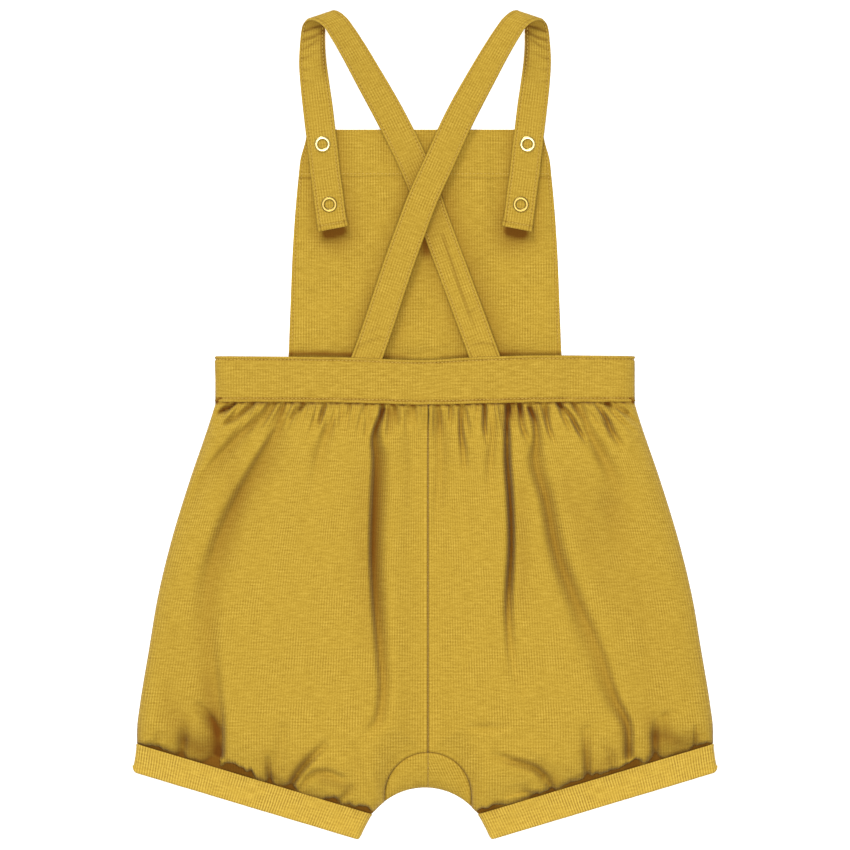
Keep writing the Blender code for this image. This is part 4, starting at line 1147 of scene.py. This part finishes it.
def leg_height(word, side, plan, head, foot_rows, inset):
    """Height of the middle of a back leg's cloth over its plan points, and the shade painted into its colour.
    """
    x, y = plan[..., 0], plan[..., 1]
    inner_rows = len(plan) - head - foot_rows
    down = np.clip((np.arange(len(plan)) - head) / (inner_rows - 1), 0, 1)[:, None] * np.ones(plan.shape[1])
    cuff = unit(np.array(CUFF_INNER_TOP) - CUFF_OUTER_TOP)
    above_cuff = (y - CUFF_OUTER_TOP[1]) * cuff[0] + (-np.abs(x) - CUFF_OUTER_TOP[0]) * -cuff[1]
    below_band = band_low(x) - y
    from_side = half_width(SIDE, y) - inset - np.abs(x)
    from_seam = np.where(y > GUSSET_CENTRE_Y + GUSSET_RADIUS, np.abs(x - CENTRE_X), 1e3)
    from_arc = np.hypot(x - CENTRE_X, y - GUSSET_CENTRE_Y) - GUSSET_RADIUS
    inner_edge = np.hypot(x - plan[:, -1:, 0], y - plan[:, -1:, 1])
    from_inner = np.clip(np.minimum(from_seam, from_arc), 0, None)
    from_inner = np.where(down > 0.9, inner_edge, np.minimum(from_inner, inner_edge))
    full = BAND_CROWN + (CROWN - BAND_CROWN) * swell(below_band / TOP_RISE)
    full = full + 0.8 * ripple(plan3(plan), 46.0, 1.0 + side) + 0.25 * ripple(plan3(plan), 13.0, 5.0 + side)
    gathered = gather_shape(word, x, above_cuff, full)
    foot, risen = edge_shape(INNER_EDGE, down, from_inner)
    z = foot + (gathered - foot) * risen
    spread = ease(from_inner / 5) * ease(from_side / 6)
    sunk = crease_depth(CREASES[word], x, y) * spread
    slant = PUCKER_SLANT * (np.abs(x) / WAIST_HALF) ** 2
    fanned = plan3(np.dstack([np.abs(x) - slant * below_band, y]))
    near_band = ease((PUCKER_REACH - below_band) / 20)
    puckers = 4.0 * ripple(fanned * (1, 0.14, 1), 2.6, 9.0 + side)
    puckers = puckers + 3.4 * ripple(fanned * (1, 0.2, 1), 5.4, 3.0 + side)
    sunk = sunk + puckers * near_band * ease(from_side / 3)
    z = z - sunk
    sewn = np.minimum(from_seam, np.abs(from_arc))
    z = z - SEAM_GROOVE * bump(sewn, 0.55) + SEAM_BEAD * bump(sewn - 1.5, 0.8)
    z = np.maximum(z, np.minimum(foot, LOWEST))
    foot, risen = edge_shape(OUTER_EDGE, down, from_side)
    z = foot + (z - foot) * risen
    entry = rolled(below_band / BAND_ENTRY_REACH)
    z = np.where(below_band < BAND_ENTRY_REACH, BAND_ENTRY * (1 - entry) + z * entry, z)
    # painted shade: in the hollows above the cuff, in the creases, in the seams and under the waistband's lip
    hollow = np.clip(np.minimum(full, CUFF_CROWN) - z, 0, HOLLOW_DEPTH) / HOLLOW_DEPTH
    hollow = hollow**1.5 * ease((16 - above_cuff) / 12)
    notch = 0.55 + 1.1 * ripple(fanned * (1, 0, 1), 3.0, 6.0)
    seam_and_band_shade = SEAM_SHADE * bump(sewn, 0.45) + np.clip(notch, 0.2, 1) * ease((1.9 - below_band) / 1.4)
    shaded = (np.clip(sunk * (1 + 0.72 * near_band), 0, None) / SHADE_DEPTH) ** 2
    broad = 0.8 * crease_depth(LEG_SHADES[word], x, y) * (1 + 0.5 * ripple(plan3(plan), 9.0, 16.0)) * spread
    painted_shade = np.clip(np.maximum(shaded + broad, MOST_SHADE * hollow) + seam_and_band_shade, 0, 1)
    return np.where(above_cuff < 0, np.minimum(z, CUFF_MOUTH), z), painted_shade


def plan3(plan):
    return np.dstack([plan, np.zeros(plan.shape[:2])])


def leg_uv(plan):
    """Ribs share out the cloth's width evenly at each height, so they fan out from the gathers."""
    share = (np.abs(plan[..., 0]) - CENTRE_X) / (half_width(SIDE, plan[..., 1]) - CENTRE_X)
    return np.dstack([share * LEG_CUT_WIDTH, plan[..., 1]])


def make_back_leg(word, side, cloth):
    inset = SINGLE / 2
    plan = leg_plan(
        side, 200, seam_rows=135, arc_rows=42, inseam_rows=14, inset=inset, band_edge=band_low
    )
    plan, head, tail = carried_on(plan, side)
    height, painted_shade = leg_height(word, side, plan, head, tail, inset)
    middle = np.dstack([plan, height])
    offset = normals(middle)
    outward = middle[:, 0] - middle[:, 1]
    outward[:, 2] = 0
    offset[:, 0] = unit(outward)
    seam = offset[:, -1]
    seam[:, 0] *= 0.2
    offset[:, -1] = unit(seam)
    column_in = np.minimum(np.arange(plan.shape[1]), np.arange(plan.shape[1])[::-1])
    level = ease(column_in / 8)[None, :, None]
    upper = middle + unit(offset * (1 - level) + np.array((0, 0, 1)) * level) * SINGLE / 2
    lower = upper - offset * SINGLE
    leg = cloth_shell(f"back_leg_{word}_cloth", upper, lower, leg_uv(plan), cloth, painted_shade=painted_shade)
    own(leg, "cloth", f"back_leg_{word}")


def make_front_leg(word, side, cloth):
    plan = leg_plan(side, 120, 100, 20, 8, inset=0.3, band_edge=front_band_low, seam_gap=CLOSED_SEAM)
    lift = np.clip(crease_depth(FRONT_CREASES[word], plan[..., 0], plan[..., 1]), 0, 1.6)
    middle = np.dstack([plan, SINGLE / 2 + lift])
    half = normals(middle) * SINGLE / 2
    front = cloth_shell(f"front_leg_{word}_cloth", middle + half, middle - half, leg_uv(plan), cloth)
    own(front, "cloth", f"front_leg_{word}")


# Gusset


def gusset_plan(side, turns, rows, inset):
    """Plan points of half the gusset: rows from its round seam to the arch, columns from the middle out."""
    reach = GUSSET_RADIUS - SEAM / 2
    turn = np.linspace(0, math.pi / 2, turns + 1)
    outer_x = CENTRE_X + side * reach * np.sin(turn)
    outer = np.stack([outer_x, GUSSET_CENTRE_Y + reach * np.cos(turn)], axis=1)
    outer[0, 0] = CENTRE_X + side * CLOSED_SEAM / 2
    tip = CENTRE_X + side * GUSSET_TIP_REACH
    inner_x = outer[0, 0] + (tip - outer[0, 0]) * np.sin(turn)
    inner = np.stack([inner_x, arch_y(inner_x) + inset], axis=1)
    down = (np.linspace(0, 1, rows + 1) ** 1.15)[:, None, None]
    return outer * (1 - down) + inner * down


def make_back_gusset(word, side, cloth):
    plan = gusset_plan(side, turns=70, rows=40, inset=SINGLE / 2)
    down = (np.linspace(0, 1, len(plan)) ** 1.15)[:, None]
    seam = smooth((0, 0.5, 1), GUSSET_SEAM_HEIGHTS, np.linspace(0, 1, plan.shape[1]))
    z = GUSSET_FOOT + (seam - GUSSET_FOOT) * np.sqrt(1 - down**2)
    from_arc = GUSSET_RADIUS - np.hypot(plan[..., 0] - CENTRE_X, plan[..., 1] - GUSSET_CENTRE_Y)
    from_middle = np.abs(plan[..., 0] - CENTRE_X)
    z = z - 0.8 * bump(from_arc, 0.6) + 0.15 * bump(from_arc - 1.6, 0.8) - 0.35 * bump(from_middle, 0.5)
    middle = np.dstack([plan, np.maximum(z, GUSSET_FOOT)])
    offset = normals(middle)
    outward = middle[-1] - middle[-2]
    outward[:, 2] = 0
    offset[-1] = unit(outward)
    offset[:, 0, 0] = 0
    offset = unit(offset)
    half = offset * SINGLE / 2
    uv = np.dstack([plan[..., 0] + RIB_SLANT[word] * plan[..., 1], plan[..., 1]])
    # painted shade in the seams
    shade = np.clip(SEAM_SHADE * bump(from_arc, 0.5) + 0.3 * bump(from_middle, 0.4), 0, 1)
    back = cloth_shell(
        f"gusset_back_{word}_cloth", middle + half, middle - half, uv, cloth, painted_shade=shade
    )
    own(back, "cloth", f"gusset_back_{word}")


def make_front_gusset(word, side, cloth):
    plan = gusset_plan(side, turns=40, rows=16, inset=0.0)
    low = np.dstack([plan, np.zeros(plan.shape[:2])])
    high = low + (0, 0, SINGLE)
    front = cloth_shell(f"gusset_front_{word}_cloth", high, low, plan, cloth)
    own(front, "cloth", f"gusset_front_{word}")


# Cuffs


def cuff_loop(start, end, out, down):
    """Points round a flattened ring between two ends, starting at the inner end of its underside."""
    start, end = np.array(start), np.array(end)
    along = unit(end - start)
    radius = CUFF_HEIGHT / 2 - DOUBLE / 2
    first, last = start + along * CUFF_HEIGHT / 2, end - along * CUFF_HEIGHT / 2
    reach = radius + out
    middle = CUFF_HEIGHT / 2
    straight = [first + (last - first) * t for t in np.linspace(0, 1, CUFF_STEPS)]
    bend = np.linspace(-math.pi / 2, math.pi / 2, 17)[1:-1]
    under = [(*point, middle - reach) for point in straight]
    far = [(*(last + along * reach * math.cos(a)), middle + reach * math.sin(a)) for a in bend]
    over = [(*point, middle + reach) for point in straight[::-1]]
    near = [(*(first - along * reach * math.cos(a)), middle + reach * math.sin(a)) for a in bend[::-1]]
    points = np.array(under + far + over + near)
    # the turned lower corners are round
    run = (points[:, :2] - start) @ along
    width = np.linalg.norm(end - start)
    for distance, size in ((run, CUFF_CORNER), (width - run, CUFF_CORNER * 0.6)):
        points[:, 1] += size * (1 - rolled((distance + 0.2) / size)) * down**3
    return points


def make_cuffs(cloth):
    for word, side in SIDES.items():
        flip = np.array([-side, 1, 1])
        depth = spaced(CUFF_DEPTH, 1.0)
        outside, inside = [], []
        for d in depth:
            t = d / CUFF_DEPTH
            a = np.array(CUFF_OUTER_TOP) * (1 - t) + np.array(CUFF_OUTER_LOW) * t
            b = np.array(CUFF_INNER_TOP) * (1 - t) + np.array(CUFF_INNER_LOW) * t
            wall = DOUBLE / 2 * float(rounding(min(d, CUFF_DEPTH - d), DOUBLE))
            top_roll = 0.22 * float(bump(d - 1.0, 0.7))
            low_roll = 0.3 * float(bump(d - 15.6, 1.2))
            relief = top_roll + low_roll - 0.3 * math.sin(math.pi * t)
            outside.append(cuff_loop(a, b, wall + relief, t) * flip)
            inside.append(cuff_loop(a, b, -wall + relief, t) * flip)
        outside, inside = np.array(outside), np.array(inside)
        outside[..., 2] = np.maximum(outside[..., 2], 0)
        sag = 0.9 * ripple(outside, 16.0, 2.0 + side) + 0.4 * ripple(outside, 6.0, 4.0 + side)
        on_top = ease((outside[..., 2] - CUFF_HEIGHT / 2) / 3)
        for grid in (outside, inside):
            grid[..., 2] += sag * on_top
        around = lengths(np.concatenate([outside, outside[:, :1]], axis=1), 1).mean(axis=0)
        uv = np.dstack(np.broadcast_arrays(around[None, :], depth[:, None]))
        cuff = cloth_shell(f"cuff_{word}_cloth", outside, inside, uv, cloth, ring=True)
        own(cuff, "doubled_cloth", f"cuff_{word}")


# Bib


def make_bib(cloth, thread):
    height = BIB[0].y - BIB[-1].y
    rows = spaced(height, 1.3)
    hem = BIB_HEM_DEPTH + np.array(HEM_ROWS)
    rows = np.unique(np.concatenate([rows[np.abs(rows - BIB_HEM_DEPTH) > 1.2], hem]))
    y = BIB[0].y - rows
    width = spaced(BIB_WIDTH, 1.2) / BIB_WIDTH * 2 - 1
    half_at = half_width(BIB, y)[:, None]
    x = width[None, :] * half_at
    plan = np.dstack([x, np.broadcast_to(y[:, None], x.shape), np.zeros(x.shape)])
    wobble = 0.5 * np.sin(x / 19.0) + 0.3 * np.sin(x / 6.3 + 1.0)
    from_top = rows[:, None] * np.ones(x.shape)
    in_hem = ease((BIB_HEM_DEPTH + wobble + 0.5 - from_top) / 1.0)
    wall = BIB_WALL + (BIB_HEM_WALL - BIB_WALL) * in_hem
    from_side = half_at - np.abs(x)
    edge = rounding(np.minimum(from_side, from_top), BIB_HEM_WALL)
    puffed = 1.6 * ripple(plan * (0.7, 1, 1), 22.0, 4.0) + 0.5 * ripple(plan, 8.0, 6.0)
    puffed = puffed + BIB_PUFF - crease_depth(BIB_CREASES, plan[..., 0], plan[..., 1])
    puffed = np.clip(puffed, 0, None) * ease(from_side / 9) * ease(from_top / 9)
    relief = puffed - 0.3 * bump(from_side - STITCH_IN, 0.45) + 0.15 * bump(from_side - 0.9, 0.5)
    relief = relief - 0.12 * bump(from_top - BIB_HEM_DEPTH + HEM_STITCH_IN, 0.5)
    relief = relief - 0.25 * bump(from_top - STITCH_IN, 0.45)
    # painted shade in the stitched grooves and along the hem, and painted shadows of the straps, their ends
    # and the waistband
    hem_shade = 0.15 + 0.4 * ease((np.abs(x) - 50) / 18)
    shade = seam_shade(from_side, STITCH_IN) * 0.5 + seam_shade(from_top, BIB_HEM_DEPTH + 0.6) * hem_shade
    shade = shade + crease_depth(BIB_SHADES, plan[..., 0], plan[..., 1])
    shade = np.clip(shade, 0, MOST_SHADE)
    upper, lower = plan.copy(), plan.copy()
    upper[..., 2] = BIB_WALL / 2 + (wall - BIB_WALL / 2) * edge + relief
    lower[..., 2] = BIB_WALL / 2 * (1 - edge) + puffed
    bib = cloth_shell("bib_cloth", upper, lower, plan[..., :2], cloth, painted_shade=shade)
    own(bib, "cloth", "bib")
    up = np.array((0.0, 0.0, 1.0))
    for word, side in SIDES.items():
        j = np.abs(from_side - STITCH_IN).mean(axis=0)
        j = np.where(np.sign(width) == side, j, 1e9).argmin()
        line = upper[3:-14, j]
        stitches(f"bib_side_stitches_{word}", line, np.tile(up, (len(line), 1)), thread)
    i = np.abs(rows - (BIB_HEM_DEPTH - HEM_STITCH_IN)).argmin()
    line = upper[i, 4:-4]
    stitches("bib_hem_stitches", line, np.tile(up, (len(line), 1)), thread)


# Straps


def strap_sections(sections, count):
    """The strap's middle line and edge directions at even steps along it."""
    rows = np.array(sections, float)
    length = np.concatenate([[0], np.cumsum(np.linalg.norm(np.diff(rows[:, :3], axis=0), axis=1))])
    return smooth(length, rows, np.linspace(0, length[-1], count)), length[-1]


def make_strap(word, sections, mirrored, cloth, thread):
    rows, total = strap_sections(sections, STRAP_STEPS)
    sign = -1 if mirrored else 1
    centre = rows[:, :3]
    turn, tilt = np.radians(rows[:, 3]), np.radians(rows[:, 4])
    edge = np.stack([np.cos(turn) * np.cos(tilt), np.sin(turn) * np.cos(tilt), np.sin(tilt)], axis=1)
    edge[:, 0] *= sign
    along = unit(np.gradient(centre, axis=0))
    out = unit(np.cross(edge, along) * sign)
    place = spaced(STRAP_WIDTH, 1.2) / STRAP_WIDTH - 0.5
    across = place * rows[:, 5:]
    run = lengths(centre[None], 1)[0][:, None]
    to_end = run[-1] - run
    middle = centre[:, None] + edge[:, None] * across[..., None]
    from_edge = rows[:, 5:] / 2 - np.abs(across)
    half = DOUBLE / 2 * rounding(np.minimum(from_edge, to_end), DOUBLE)
    relief = 0.2 * bump(from_edge - 0.9, 0.6) - 0.32 * bump(from_edge - STITCH_IN, 0.42)
    relief = relief - 0.3 * bump(to_end - END_STITCH, 0.5) - 0.28 * bump(to_end - END_HEM, 0.5)
    relief = relief + 0.25 * ripple(middle, 9.0, 7.0 + sign) * ease(from_edge / 4)
    roll = np.argmax(centre[:, 1])
    turned = run - run[roll]
    past_roll = turned > 0
    over = ease((turned + 3) / 6)  # past the roll the cloth's other face looks up
    dent = crease_depth(STRAP_CREASES, middle[..., 0] * sign, middle[..., 1])
    relief = relief - np.where(past_roll, dent, 0)
    fold = np.where(past_roll, 0, crease_depth(STRAP_FOLDS[word], middle[..., 0], middle[..., 1]))
    relief = relief - 0.4 * fold
    upper = middle + out[:, None] * (half + relief * (1 - over))[..., None]
    lower = middle - out[:, None] * (half + relief * over)[..., None]
    uv = np.dstack([across, np.broadcast_to(run, across.shape)])
    # painted shade in the stitched grooves, folds and dents and under the shoulder roll; on the under strap,
    # the over strap's painted shadow
    shade = 0.55 * seam_shade(from_edge, STITCH_IN) + 0.5 * seam_shade(to_end, END_STITCH)
    shade = shade + 0.5 * seam_shade(to_end, END_HEM)
    from_inner = rows[:, 5:] / 2 - across
    shade = shade + 0.5 * fold
    roll_shade = 0.34 * bump(turned - 7.0, 6.0) + 0.34 * bump(from_inner, 4.0) * ease((46 - turned) / 26)
    shade = shade + np.where(past_roll, roll_shade + 0.55 * dent, 0)
    if word == "left":
        under = 1.3 * crease_depth((OVER_SHADE,), middle[..., 0], middle[..., 1])
        shade = shade + np.where(past_roll, 0, np.minimum(under, 0.8))
    shade = np.clip(shade, 0, 1)
    painted_shade = (shade * (1 - over), shade * over)
    strap = cloth_shell(f"strap_{word}_cloth", upper, lower, uv, cloth, painted_shade=painted_shade)
    own(strap, "doubled_cloth", f"strap_{word}")
    up = np.broadcast_to(out[:, None], upper.shape)
    last = int(STRAP_STEPS * (1 - END_STITCH / total))
    parts = (("back", slice(12, roll - 4), upper, up), ("end", slice(roll + 4, last), lower, -up))
    for name, want in (("outer", -1), ("inner", 1)):
        j = np.abs(place * STRAP_WIDTH - want * (STRAP_WIDTH / 2 - STITCH_IN)).argmin()
        for part, keep, face, facing in parts:
            row = f"strap_{word}_{name}_{part}_stitches"
            stitches(row, face[keep, j], facing[keep, j], thread)
    for name, back in (("hem_low", END_STITCH), ("hem_top", END_HEM)):
        i = np.abs(to_end[:, 0] - back).argmin()
        inside = slice(6, -6)
        stitches(f"strap_{word}_{name}_stitches", lower[i, inside], -up[i, inside], thread)


def make_straps(cloth, thread):
    other_end = tuple(row._replace(x=-row.x) for row in ROLL_AND_END)
    make_strap("left", UNDER_STRAP + ROLL_AND_END, False, cloth, thread)
    make_strap("right", OVER_STRAP + other_end, True, cloth, thread)


# Snaps


def make_snaps(bright, dull, rim_shade):
    for word in SIDES:
        for level, metal in (("upper", bright), ("lower", dull)):
            low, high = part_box(f"snap_ring_{word}_{level}")
            middle = (low + high) / 2
            radius = (high.x - low.x) / 2
            bpy.ops.object.select_all(action="DESELECT")
            bpy.ops.mesh.primitive_torus_add(
                location=(middle.x, middle.y, middle.z - RING_SINK * MM),
                major_segments=56,
                minor_segments=14,
                major_radius=radius - RING_WIRE * MM,
                minor_radius=RING_WIRE * MM,
            )
            ring = bpy.context.object
            ring.name = f"snap_ring_{word}_{level}_cap"
            bpy.ops.object.mode_set(mode="EDIT")
            bpy.ops.mesh.select_all(action="SELECT")
            bpy.ops.transform.resize(value=(1, 1, RING_FLATTENED), center_override=middle)
            bpy.ops.object.mode_set(mode="OBJECT")
            bpy.ops.object.transform_apply(location=True, rotation=True, scale=True)
            bpy.ops.object.shade_smooth()
            ring.data.materials.clear()
            ring.data.materials.append(metal)
            ring.data.materials.append(rim_shade)
            # the steep faces of the ring take the darker brass, painted shade
            for face in ring.data.polygons:
                face.material_index = int(face.normal.z < RIM_SLOPE)
            own(ring, "snap", f"snap_ring_{word}_{level}")
    for name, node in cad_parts.items():
        if "snap_socket" in name or "snap_stud" in name:
            node.data.materials.clear()
            node.data.materials.append(dull)


# Floor, light and camera


def make_setting():
    bpy.ops.mesh.primitive_plane_add(size=FLOOR_SIZE, location=(0, 0, FLOOR_LEVEL))
    floor = bpy.context.object
    floor.name = "floor"
    # a white table, lit from within a little, so that it reads as a bright, even ground
    material, _, shader = blank("lit_white_table")
    shader.inputs["Base Color"].default_value = linear("f7f7f6")
    shader.inputs["Emission Color"].default_value = (1, 1, 1, 1)
    shader.inputs["Emission Strength"].default_value = FLOOR_GLOW
    shader.inputs["Roughness"].default_value = 0.9
    floor.data.materials.append(material)
    world = bpy.data.worlds.new("white_tent")
    world.use_nodes = True
    world.node_tree.nodes["Background"].inputs["Color"].default_value = (1, 1, 1, 1)
    world.node_tree.nodes["Background"].inputs["Strength"].default_value = TENT_LIGHT
    bpy.context.scene.world = world
    for lamp in LAMPS:
        light = bpy.data.lights.new(lamp.name, "AREA")
        light.shape = "DISK"
        light.size = lamp.size
        light.energy = lamp.power
        holder = bpy.data.objects.new(lamp.name, light)
        holder.location = lamp.place
        holder.rotation_euler = (-Vector(lamp.place)).to_track_quat("-Z", "Y").to_euler()
        bpy.context.scene.collection.objects.link(holder)
    camera = bpy.data.cameras.new("overhead_camera")
    camera.sensor_width = SENSOR
    camera.lens = LENS
    camera.clip_end = 20.0
    eye = bpy.data.objects.new("overhead_camera", camera)
    eye.location = (0, 0, VIEW_WIDTH * LENS / SENSOR)
    bpy.context.scene.collection.objects.link(eye)
    bpy.context.scene.camera = eye
    bpy.context.scene.view_settings.view_transform = "Standard"


def main():
    # the last colour given to each cloth is the colour its painted shade turns to
    cloth = waffle_cotton(
        "mustard_waffle_cotton", "88681a", "a4852a", "bf9f40", "643a02", ribbed=0.25, slub=0.95
    )
    # the waistband's two layers: its ribs are weaker, so it looks smoother than the legs
    doubled = waffle_cotton(
        "mustard_waffle_cotton_doubled", "88681a", "a2832a", "bf9f40", "643a02", ribbed=0.17, depth=0.15
    )
    # the straps: evener, with weaker slubs, and a browner painted shade in their folds
    strap = waffle_cotton(
        "mustard_waffle_cotton_straps", "88681a", "a2832a", "bf9f40", "5a3402", ribbed=0.24, slub=0.75
    )
    # the cuffs show the cloth's other face: paler, with ribs that stand out
    reverse = waffle_cotton(
        "mustard_waffle_cotton_reverse", "947327", "b39234", "c9a947", "643c04", ribbed=0.55
    )
    thread = sewing_thread("mustard_sewing_thread", "b8983c")
    bright = plated_brass("bright_gold_plated_brass", "d9c27e", 0.3)
    # rougher for the lower rings and the studs and sockets, and darker: the darker colour is painted shade
    dull = plated_brass("dull_gold_plated_brass_with_painted_shade", "a38a48", 0.42)
    rim_shade = plated_brass("brass_painted_rim_shade", "6a5426", 0.5)
    make_waistband(doubled, thread)
    make_front_waistband(doubled)
    for word, side in SIDES.items():
        make_back_leg(word, side, cloth)
        make_front_leg(word, side, cloth)
    for word, side in SIDES.items():
        make_back_gusset(word, side, cloth)
        make_front_gusset(word, side, cloth)
    make_cuffs(reverse)
    make_bib(cloth, thread)
    make_straps(strap, thread)
    make_snaps(bright, dull, rim_shade)
    make_setting()


main()
